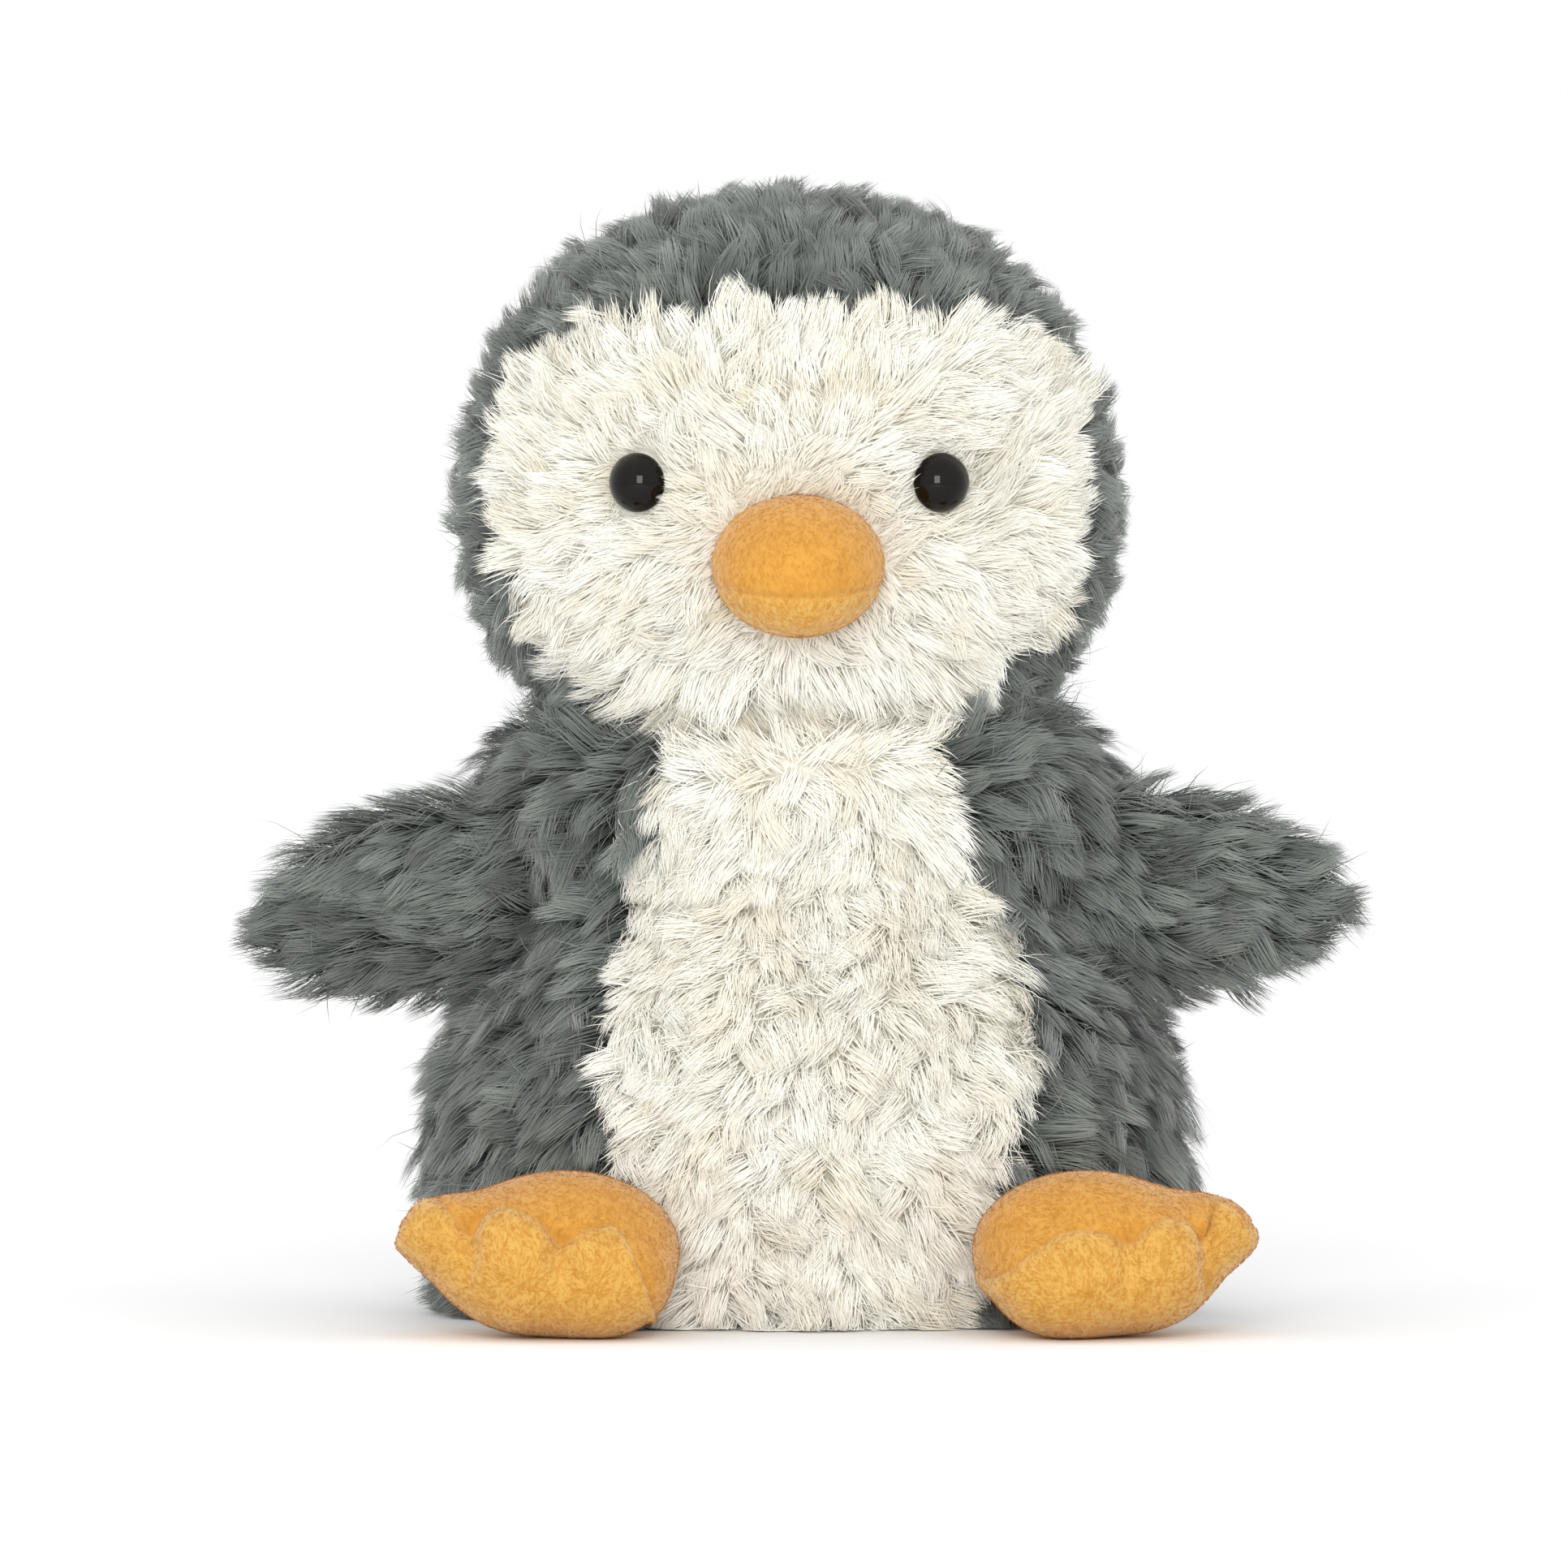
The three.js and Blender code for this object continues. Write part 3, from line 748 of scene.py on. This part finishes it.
# Foot shapes in the foot's own millimetres: outwards, forwards, height, then the three radii.
FOOT_MIDDLE_MM = {"left": (45.7, -36.9), "right": (-36.3, -37.4)}
FOOT_YAW = {"left": math.radians(15), "right": 0.0}
FOOT_LOBES_MM = [
    ((-1.0, -1.0, 13.2), (17.2, 14.6, 11.9)),
    ((-6.5, 7.5, 9.0), (10.4, 11.4, 8.4)),
    ((6.0, 8.2, 11.4), (9.2, 10.8, 9.0)),
    ((16.4, 3.0, 15.4), (8.2, 9.6, 6.1)),
    ((3.0, 4.0, 9.8), (14.6, 11.0, 7.6)),
]
FOOT_BLEND_MM = 1.9
# The scalloped seam from the inner side outwards: channels between toes and toe tops in turn.
FOOT_SEAM_MM = {
    "right": [(-15, 3.4), (-8, 18), (-0.6, 15.9), (8.5, 20.6), (14, 17), (20.5, 21.8), (24.8, 15.5)],
    "left": [(-21.5, 5), (-6, 17.3), (1, 16.0), (8.3, 18.9), (14.7, 15.5), (18.4, 21.2), (22, 17)],
}


def foot_axes(side):
    turn, sign = FOOT_YAW[side], SIDES[side]
    outward = np.array([sign * math.cos(turn), math.sin(turn), 0.0])
    forward = np.array([sign * math.sin(turn), -math.cos(turn), 0.0])
    return outward, forward


def foot_local(side, points):
    """Outward, forward and height in millimetres."""
    outward, forward = foot_axes(side)
    offset = points / MM - np.array([*FOOT_MIDDLE_MM[side], 0.0])
    return np.column_stack([offset @ outward, offset @ forward, offset[:, 2]])


def blended_lobes(local):
    """Below 0 inside the foot: the lobes run into each other with soft hollows between them."""
    total = 0
    for centre, radii in FOOT_LOBES_MM:
        scaled = (local - np.array(centre)) / np.array(radii)
        size = np.linalg.norm(scaled, axis=-1)
        slope = np.linalg.norm(scaled / np.array(radii), axis=-1)
        distance = size * (size - 1) / np.maximum(slope, 1e-6)
        total = total + np.exp(-np.clip(distance, -30, 60) / FOOT_BLEND_MM)
    return -FOOT_BLEND_MM * np.log(np.maximum(total, 1e-30))


def foot_skin(side):
    """The outermost point of the blended lobes along rays from the middle of the foot."""
    directions, faces = icosphere(6)
    outward, forward = foot_axes(side)
    steps = np.linspace(2, 42, 110)
    middle = np.array([2.0, 2.0, 11.5])
    local = middle + directions[:, None, :] * steps[None, :, None]
    inside = blended_lobes(local) < 0
    last = inside.shape[1] - 1 - np.argmax(inside[:, ::-1], axis=1)
    last = np.clip(last, 0, len(steps) - 2)
    rows = np.arange(len(directions))
    near, far = blended_lobes(local[rows, last]), blended_lobes(local[rows, last + 1])
    share = np.clip(near / np.minimum(near - far, -1e-6), 0, 1)
    reach = steps[last] + share * (steps[1] - steps[0])
    shape = middle + directions * reach[:, None]
    shape = relaxed(shape, faces, 2)
    shape[:, 2] = np.maximum(shape[:, 2], 0.3)
    base = np.array([*FOOT_MIDDLE_MM[side], 0.0])
    world = base + shape[:, :1] * outward + shape[:, 1:2] * forward + shape[:, 2:] * np.array([0, 0, 1.0])
    if SIDES[side] > 0:
        faces = faces[:, ::-1]
    return world * MM, faces


def foot_seam(side, local):
    """Height of a point below the scalloped seam, in metres, and its toe-channel depth."""
    marks = FOOT_SEAM_MM[side]
    line = np.full(len(local), marks[0][1], float)
    for k in range(len(marks) - 1):
        (x0, z0), (x1, z1) = marks[k], marks[k + 1]
        share = np.clip((local[:, 0] - x0) / (x1 - x0), 0, 1)
        eased = np.sin(share * math.pi / 2) if k % 2 == 0 else 1 - np.cos(share * math.pi / 2)
        line = np.where(local[:, 0] >= x0, z0 + (z1 - z0) * eased, line)
    front = smoothstep(-5.0, 3.0, local[:, 1])
    line = line * front + 10.5 * (1 - front)
    below = (line - local[:, 2]) * MM
    channel = np.zeros(len(local))
    for k in (2, 4):
        aside = (local[:, 0] - marks[k][0]) / 2.1
        fade = smoothstep(-0.002, 0.0, below) * (1 - smoothstep(0.002, 0.011, below))
        channel += np.exp(-(aside**2)) * fade * front
    return below, channel


def make_foot(side):
    names = [f"{side}_foot_upper_panel", f"{side}_foot_sole_panel", f"{side}_foot_filling"]
    vertices, faces = foot_skin(side)
    below, _ = foot_seam(side, foot_local(side, vertices))
    pinned = np.exp(-((below / 0.0008) ** 2))
    vertices = inflated(vertices, faces, pinned)
    vertices, faces = subdivided(vertices, faces)
    vertices[:, 2] = np.maximum(vertices[:, 2], LOWEST_GOLDEN)
    below, channel = foot_seam(side, foot_local(side, vertices))
    puffed = 0.0006 * np.exp(-(((below - 0.0024) / 0.0022) ** 2))
    creases = 0.0018 * channel - puffed
    vertices = golden_piece(f"{side}_foot", vertices, faces, below, creases, f"{side}_foot", names)
    vertices[:, 2] = np.maximum(vertices[:, 2], LOWEST_GOLDEN)
    _, forward = foot_axes(side)
    nap(
        f"{side}_foot_nap",
        vertices,
        faces,
        lambda points, normals: np.tile(forward + np.array([0, 0, -0.25]), (len(points), 1)),
        f"{side}_foot",
        5.5,
        0.0011,
        31,
    )
    tree = BVHTree.FromPolygons([tuple(v) for v in vertices], faces.tolist())
    return tree, vertices.min(axis=0), vertices.max(axis=0)


def make_beak():
    directions, faces = icosphere(6)
    vertices = BEAK_CENTRE + directions * BEAK_RADII
    front = smoothstep(0.0, 1.0, -directions[:, 1])
    vertices[:, 2] -= 0.0012 * front
    bow = BEAK_SEAM_Z - 0.0006 + 8.0 * (vertices[:, 0] - BEAK_CENTRE[0]) ** 2
    split = bow - vertices[:, 2]
    pinned = np.exp(-((split / 0.0008) ** 2))
    vertices = inflated(vertices, faces, pinned)
    split = bow - vertices[:, 2]
    names = ["beak_upper_panel", "beak_lower_panel", "beak_filling"]
    vertices = golden_piece("beak", vertices, faces, split, 0.0, "head", names)
    nap(
        "beak_nap",
        vertices,
        faces,
        lambda points, normals: np.column_stack(
            [(points[:, 0] - BEAK_CENTRE[0]) * 0.4, -0.2 + 0 * points[:, 0], -1 + 0 * points[:, 0]]
        ),
        "head",
        5.5,
        0.001,
        47,
    )


# ---------------------------------------------------------------- eyes and inner parts


def eye_seat(side):
    """Centre of the eye's disc and its outward direction, from the CAD eye's own vertices."""
    points = np.array([v.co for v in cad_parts[f"{side}_eye"].data.vertices], float).reshape(-1, 3)
    yaw = EYE_YAW * SIDES[side]
    outward = np.array([math.sin(yaw), -math.cos(yaw), 0.0])
    reach = points @ outward
    front = points[np.argmax(reach)]
    lowered = np.array([0, 0, 0.001])
    return front - outward * EYE_DOME - lowered, outward


def make_eye(side):
    """A domed glossy eye with a narrow rim and a shank, turned about its own axis."""
    centre, outward = eye_seat(side)
    ball = (EYE_RADIUS**2 + EYE_DOME**2) / (2 * EYE_DOME)
    steps = 20
    widest = math.asin(min(1.0, EYE_RADIUS / ball))
    profile = [
        (ball * math.sin(widest * k / steps), EYE_DOME - ball + ball * math.cos(widest * k / steps))
        for k in range(steps + 1)
    ]
    profile += [
        (EYE_RADIUS, 0.0002 - EYE_RIM),
        (EYE_RADIUS - 0.0003, -EYE_RIM),
        (EYE_SHANK_RADIUS, -EYE_RIM),
        (EYE_SHANK_RADIUS, -EYE_SHANK_END),
        (0, -EYE_SHANK_END),
    ]
    sideways = unit(np.cross(np.array([0, 0, 1.0]), outward))
    up = np.cross(outward, sideways)
    turns = 56
    vertices, faces = [], []
    for radius, height in profile:
        for k in range(turns):
            angle = 2 * math.pi * k / turns
            vertices.append(
                centre + outward * height + (sideways * math.cos(angle) + up * math.sin(angle)) * radius
            )
    for ring in range(len(profile) - 1):
        for k in range(turns):
            nxt = (k + 1) % turns
            a, b = ring * turns, (ring + 1) * turns
            faces.append((a + k, b + k, b + nxt, a + nxt))
    made = mesh_object(f"{side}_glossy_eye", vertices, faces)
    joined = bmesh.new()
    joined.from_mesh(made.data)
    bmesh.ops.remove_doubles(joined, verts=joined.verts, dist=1e-6)
    bmesh.ops.recalc_face_normals(joined, faces=joined.faces)
    joined.to_mesh(made.data)
    joined.free()
    made.data.materials.append(EYE_PLASTIC)
    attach(made, "head")
    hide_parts(f"{side}_eye")
    return centre, outward


def finish_inner_parts():
    """Pieces nobody sees until the toy is opened keep their CAD shapes, in materials of their own."""
    looks = {
        "bean_pouch_upper": POUCH_CLOTH,
        "bean_pouch_lower": POUCH_CLOTH,
        "bean_pellets": PELLETS,
        "left_eye_washer": WASHER,
        "right_eye_washer": WASHER,
    }
    for name, material in looks.items():
        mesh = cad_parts[name].data
        mesh.materials.clear()
        mesh.materials.append(material)


def make_neck_roll():
    """The firm roll of fibre in the neck, with its surface lumpy like packed stuffing."""
    vertices, faces, _ = node_triangles(["neck_filling"])
    made = mesh_object("neck_roll", vertices, faces)
    joined = bmesh.new()
    joined.from_mesh(made.data)
    bmesh.ops.remove_doubles(joined, verts=joined.verts, dist=1e-6)
    bmesh.ops.subdivide_edges(joined, edges=joined.edges, cuts=2, use_grid_fill=True)
    joined.to_mesh(made.data)
    joined.free()
    points = np.array([v.co for v in made.data.vertices], float).reshape(-1, 3)
    normals = np.array([v.normal for v in made.data.vertices], float).reshape(-1, 3)
    points -= normals * (0.0006 + 0.0005 * wobble(points, 0.006, 5))[:, None]
    made.data.vertices.foreach_set("co", points.astype(np.float32).ravel())
    made.data.polygons.foreach_set("use_smooth", [True] * len(made.data.polygons))
    made.data.update()
    made.data.materials.append(FIBRE)
    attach(made, "neck")
    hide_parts("neck_filling")


# ---------------------------------------------------------------- flows of the pile


def head_flow(points, normals):
    """Brushed away from the beak over the face, then down the back of the head."""
    outward = unit(points - HEAD_CENTRE)
    beak = unit(np.array([0.0, -1.0, -0.22]))
    away = on_surface(np.tile(-beak, (len(points), 1)), outward)
    down = on_surface(np.tile([0.0, 0.0, -1.0], (len(points), 1)), outward)
    back = smoothstep(0.0, 0.75, outward[:, 1])[:, None]
    lower = smoothstep(0.0, 0.9, -outward[:, 2])[:, None]
    blended = away * (1 - back) + down * (back + 0.5 * lower)
    return blended + np.array([0.12, 0.0, 0.0])


def body_flow(points, normals):
    """Down the belly, and down and outwards round the sides."""
    spread = np.clip((points[:, 0] - BODY_CENTRE[0]) / 0.05, -1, 1)
    front = smoothstep(0.3, -0.5, normals[:, 1])
    flow = np.zeros_like(points)
    flow[:, 2] = -1.0 + 1.1 * smoothstep(0.079, 0.088, points[:, 2])
    flow[:, 0] = spread * (0.25 + 0.75 * front)
    return flow


def flipper_flow(side):
    lean = {"left": -0.12, "right": -0.28}[side]

    def flow(points, normals):
        return np.tile([SIDES[side], 0.0, lean], (len(points), 1))

    return flow


# ---------------------------------------------------------------- parts


def make_head(eyes):
    names = ["face_panel", "left_hood_panel", "right_hood_panel"]
    vertices, faces = shrunk_onto(names, HEAD_CENTRE, 6, 6)
    normals = vertex_normals(vertices, faces)
    inset = 0.0048 + 0.0014 * smoothstep(0.148, 0.172, vertices[:, 2])
    vertices = vertices - normals * inset[:, None]

    def grows(middles, facing):
        away = np.linalg.norm((middles - BEAK_CENTRE) / BEAK_RADII, axis=1)
        return (middles[:, 2] > 0.0945) & (away > 0.98)

    def length(points):
        near_beak = smoothstep(1.0, 1.7, np.linalg.norm((points - BEAK_CENTRE) / BEAK_RADII, axis=1))
        size = 0.0078 * (0.62 + 0.38 * near_beak)
        size = size * (1 + 0.35 * (1 - smoothstep(0.098, 0.108, points[:, 2])))
        for centre, _ in eyes.values():
            away = np.linalg.norm(points - centre, axis=1)
            size = size * (0.45 + 0.55 * smoothstep(0.005, 0.011, away))
        return size

    def border(points):
        """The cream pile stops a little short of the seam over the forehead."""
        lift = 0.0026 * smoothstep(0.138, 0.152, points[:, 2])
        return lift[:, None] * np.array([0.0, 0.0, 1.0])

    def clear(roots, paths):
        good = np.ones(len(roots), bool)
        for centre, outward in eyes.values():
            for step in range(4):
                offset = paths[:, step] - centre
                depth = offset @ outward
                aside = np.linalg.norm(offset - depth[:, None] * outward, axis=1)
                limit = EYE_RADIUS * (0.95, 0.93, 0.88, 0.84)[step]
                stray = rng.random(len(roots)) < 0.012
                good &= ~((aside < limit) & (np.abs(depth) < 0.012)) | (stray & (step > 1))
        return good

    part = {
        "vertices": vertices,
        "faces": faces,
        "panels": Panels(names),
        "looks": {
            "face_panel": (CREAM, "cream_pile"),
            "left_hood_panel": (GREY, "grey_pile"),
            "right_hood_panel": (GREY, "grey_pile"),
        },
        "body": "head",
        "grows": grows,
        "flow": head_flow,
        "length": length,
        "clear": clear,
        "border": border,
        "keep_out": [],
        "spacing": 0.0019,
        "per_mm2": 7.4,
        "swirl": 0.75,
        "jitter": 0.42,
        "rise": 0.88,
        "run": 1.08,
        "cream": (0.96, 1.4, 0.62),
        "overhang": 0.45,
        "seed": 21,
    }
    backing_pieces(part, ["head_filling"])
    grow_pile(part)


FOOT_CLEARANCE = 0.0005


def make_body(feet):
    names = ["belly_panel", "left_side_panel", "right_side_panel", "base_panel"]
    cup_radius = 0.0302

    def hollow(points):
        """The hits inside the neck's cup, laid onto a smooth round cup that the head sits in."""
        offset = points - NECK_PIVOT
        in_cup = (np.linalg.norm(offset[:, :2], axis=1) < 0.0335) & (points[:, 2] > 0.055)
        return np.where(in_cup[:, None], NECK_PIVOT + unit(offset) * cup_radius, points)

    vertices, faces = shrunk_onto(names, BODY_CENTRE, 6, 4, hollow)
    normals = vertex_normals(vertices, faces)
    outer = np.linalg.norm((vertices - NECK_PIVOT)[:, :2], axis=1) > 0.033
    high = smoothstep(0.070, 0.082, vertices[:, 2])
    inset = 0.005 * smoothstep(-0.001, 0.012, vertices[:, 2]) * (1 - high) + 0.0012 * high
    vertices = vertices - normals * (inset * outer)[:, None]
    vertices[:, 2] = np.maximum(vertices[:, 2], 0.0006)
    vertices[:, 2] += 0.0062 * smoothstep(0.070, 0.0875, vertices[:, 2]) * outer
    # The shoulders slope out from the neck to the tops of the flippers.
    shoulder = np.exp(-(((vertices[:, 2] - 0.079) / 0.009) ** 2))
    aside = (vertices[:, 0] - BODY_CENTRE[0]) / 0.034
    vertices[:, 0] += 0.009 * shoulder * np.sign(aside) * smoothstep(0.5, 1.0, np.abs(aside))

    def grows(middles, facing):
        from_axis = np.linalg.norm((middles - NECK_PIVOT)[:, :2], axis=1)
        in_cup = (from_axis < 0.0312) & (middles[:, 2] > 0.055)
        under = facing[:, 2] < -0.8
        return ~in_cup & ~under

    def border(points):
        """Low on the body the cream pile spreads sideways over the seam, up to the feet."""
        inwards = -np.sign(points[:, 0] - BODY_CENTRE[0])
        spread = 0.0035 * (1 - smoothstep(0.016, 0.034, points[:, 2]))
        return (inwards * spread)[:, None] * np.array([1.0, 0.0, 0.0])

    part = {
        "vertices": vertices,
        "faces": faces,
        "panels": Panels(names),
        "pile_panels": Panels(names[:3]),
        "looks": {
            "belly_panel": (CREAM, "cream_pile"),
            "left_side_panel": (GREY, "grey_pile"),
            "right_side_panel": (GREY, "grey_pile"),
            "base_panel": (CREAM, "cream_pile"),
        },
        "body": "torso",
        "grows": grows,
        "flow": body_flow,
        "length": lambda points: np.full(len(points), 0.0096),
        "clear": lambda roots, paths: np.ones(len(roots), bool),
        "border": border,
        "keep_out": feet,
        "spacing": 0.0021,
        "per_mm2": 8.4,
        "swirl": 0.75,
        "jitter": 0.4,
        "rise": 1.0,
        "run": 1.0,
        "cream": (0.8, 1.12, 0.8),
        "overhang": 0.45,
        "seed": 61,
    }
    backing_pieces(part, ["body_filling"])
    grow_pile(part)


def make_flipper(side):
    names = [f"{side}_flipper_front_panel", f"{side}_flipper_back_panel"]
    corners = [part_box(name) for name in names]
    low = np.min([np.array(c[0]) for c in corners], axis=0)
    high = np.max([np.array(c[1]) for c in corners], axis=0)
    centre = (low + high) / 2
    vertices, faces = shrunk_onto(names, centre, 5, 3)
    normals = vertex_normals(vertices, faces)
    vertices = vertices - normals * 0.0036
    reach = (vertices[:, 0] - centre[0]) * SIDES[side]
    vertices[:, 0] -= SIDES[side] * 0.003 * smoothstep(0.0, 0.03, reach)
    root = 1 - smoothstep(-0.012, 0.010, reach)
    height = vertices[:, 2] - centre[2]
    above, under = smoothstep(-0.004, 0.01, height), smoothstep(0.004, -0.01, height)
    vertices[:, 2] += root * (0.0035 * above - 0.002 * under)
    vertices[:, 0] -= SIDES[side] * 0.004 * root
    vertices[:, 2] += 0.28 * height * smoothstep(0.006, 0.022, reach)

    part = {
        "vertices": vertices,
        "faces": faces,
        "panels": Panels(names),
        "looks": {name: (GREY, "grey_pile") for name in names},
        "body": f"{side}_flipper",
        "grows": lambda middles, facing: np.ones(len(middles), bool),
        "flow": flipper_flow(side),
        "length": lambda points: np.full(len(points), 0.0088),
        "clear": lambda roots, paths: np.ones(len(roots), bool),
        "border": lambda points: np.zeros(3),
        "keep_out": [],
        "spacing": 0.0021,
        "per_mm2": 7.2,
        "swirl": 0.4,
        "jitter": 0.25,
        "rise": 0.85,
        "run": 1.05,
        "cream": (1.0, 1.0, 1.0),
        "overhang": 0.3,
        "seed": 83 if side == "left" else 97,
    }
    backing_pieces(part, [f"{side}_flipper_filling"])
    grow_pile(part)


feet = [make_foot(side) for side in SIDES]
make_body([(tree, FOOT_CLEARANCE, low, high) for tree, low, high in feet])
make_beak()
eyes = {side: make_eye(side) for side in SIDES}
make_head(eyes)
for side in SIDES:
    make_flipper(side)
make_neck_roll()
finish_inner_parts()


# ---------------------------------------------------------------- studio


VIEW_WIDTH = 0.2432
SENSOR_WIDTH = 36
CAMERA_DISTANCE = 4.0
CAMERA_TILT = math.radians(3)
CAMERA_AIM = Vector((-0.0017, 0.0, 0.0829))
FLOOR_REACH = 9
SOFTBOX_SIZE = (0.34, 0.46)
SOFTBOX_RADIANCE = 7.5


def make_studio():
    scene = bpy.context.scene
    scene.view_settings.view_transform = "Standard"
    scene.view_settings.exposure = 0.15
    # Pale fur looks pale because light bounces many times between its fibres.
    scene.cycles.diffuse_bounces = 12
    scene.cycles.max_bounces = 16
    world = bpy.data.worlds.new("studio")
    world.use_nodes = True
    world.node_tree.nodes["Background"].inputs["Color"].default_value = (1, 1, 1, 1)
    world.node_tree.nodes["Background"].inputs["Strength"].default_value = 1.0
    scene.world = world
    corners = [(x * FLOOR_REACH, y * FLOOR_REACH, 0) for x, y in ((-1, -1), (1, -1), (1, 1), (-1, 1))]
    floor = mesh_object("floor", corners, [(0, 1, 2, 3)], False)
    paper, nodes, links, shader = new_material("white_paper", 1.0, 0.0)
    shader.inputs["Base Color"].default_value = (0.9, 0.9, 0.9, 1)
    floor.data.materials.append(paper)

    def softbox(name, place, aim, size, radiance):
        light = bpy.data.lights.new(name, "AREA")
        light.shape = "RECTANGLE"
        light.size, light.size_y = size
        light.energy = radiance * math.pi * size[0] * size[1]
        made = bpy.data.objects.new(name, light)
        made.location = place
        made.rotation_euler = (Vector(aim) - Vector(place)).to_track_quat("-Z", "Y").to_euler()
        scene.collection.objects.link(made)

    softbox("front_softbox", (-0.05, -0.95, 0.34), (0, 0, 0.09), SOFTBOX_SIZE, SOFTBOX_RADIANCE)

    camera_data = bpy.data.cameras.new("camera")
    camera_data.sensor_width = SENSOR_WIDTH
    camera_data.lens = SENSOR_WIDTH * CAMERA_DISTANCE / VIEW_WIDTH
    camera_data.clip_start, camera_data.clip_end = 0.05, 50
    camera = bpy.data.objects.new("camera", camera_data)
    away = Vector((0, -math.cos(CAMERA_TILT), math.sin(CAMERA_TILT)))
    camera.location = CAMERA_AIM + away * CAMERA_DISTANCE
    camera.rotation_euler = (CAMERA_AIM - camera.location).to_track_quat("-Z", "Y").to_euler()
    scene.collection.objects.link(camera)
    scene.camera = camera


make_studio()
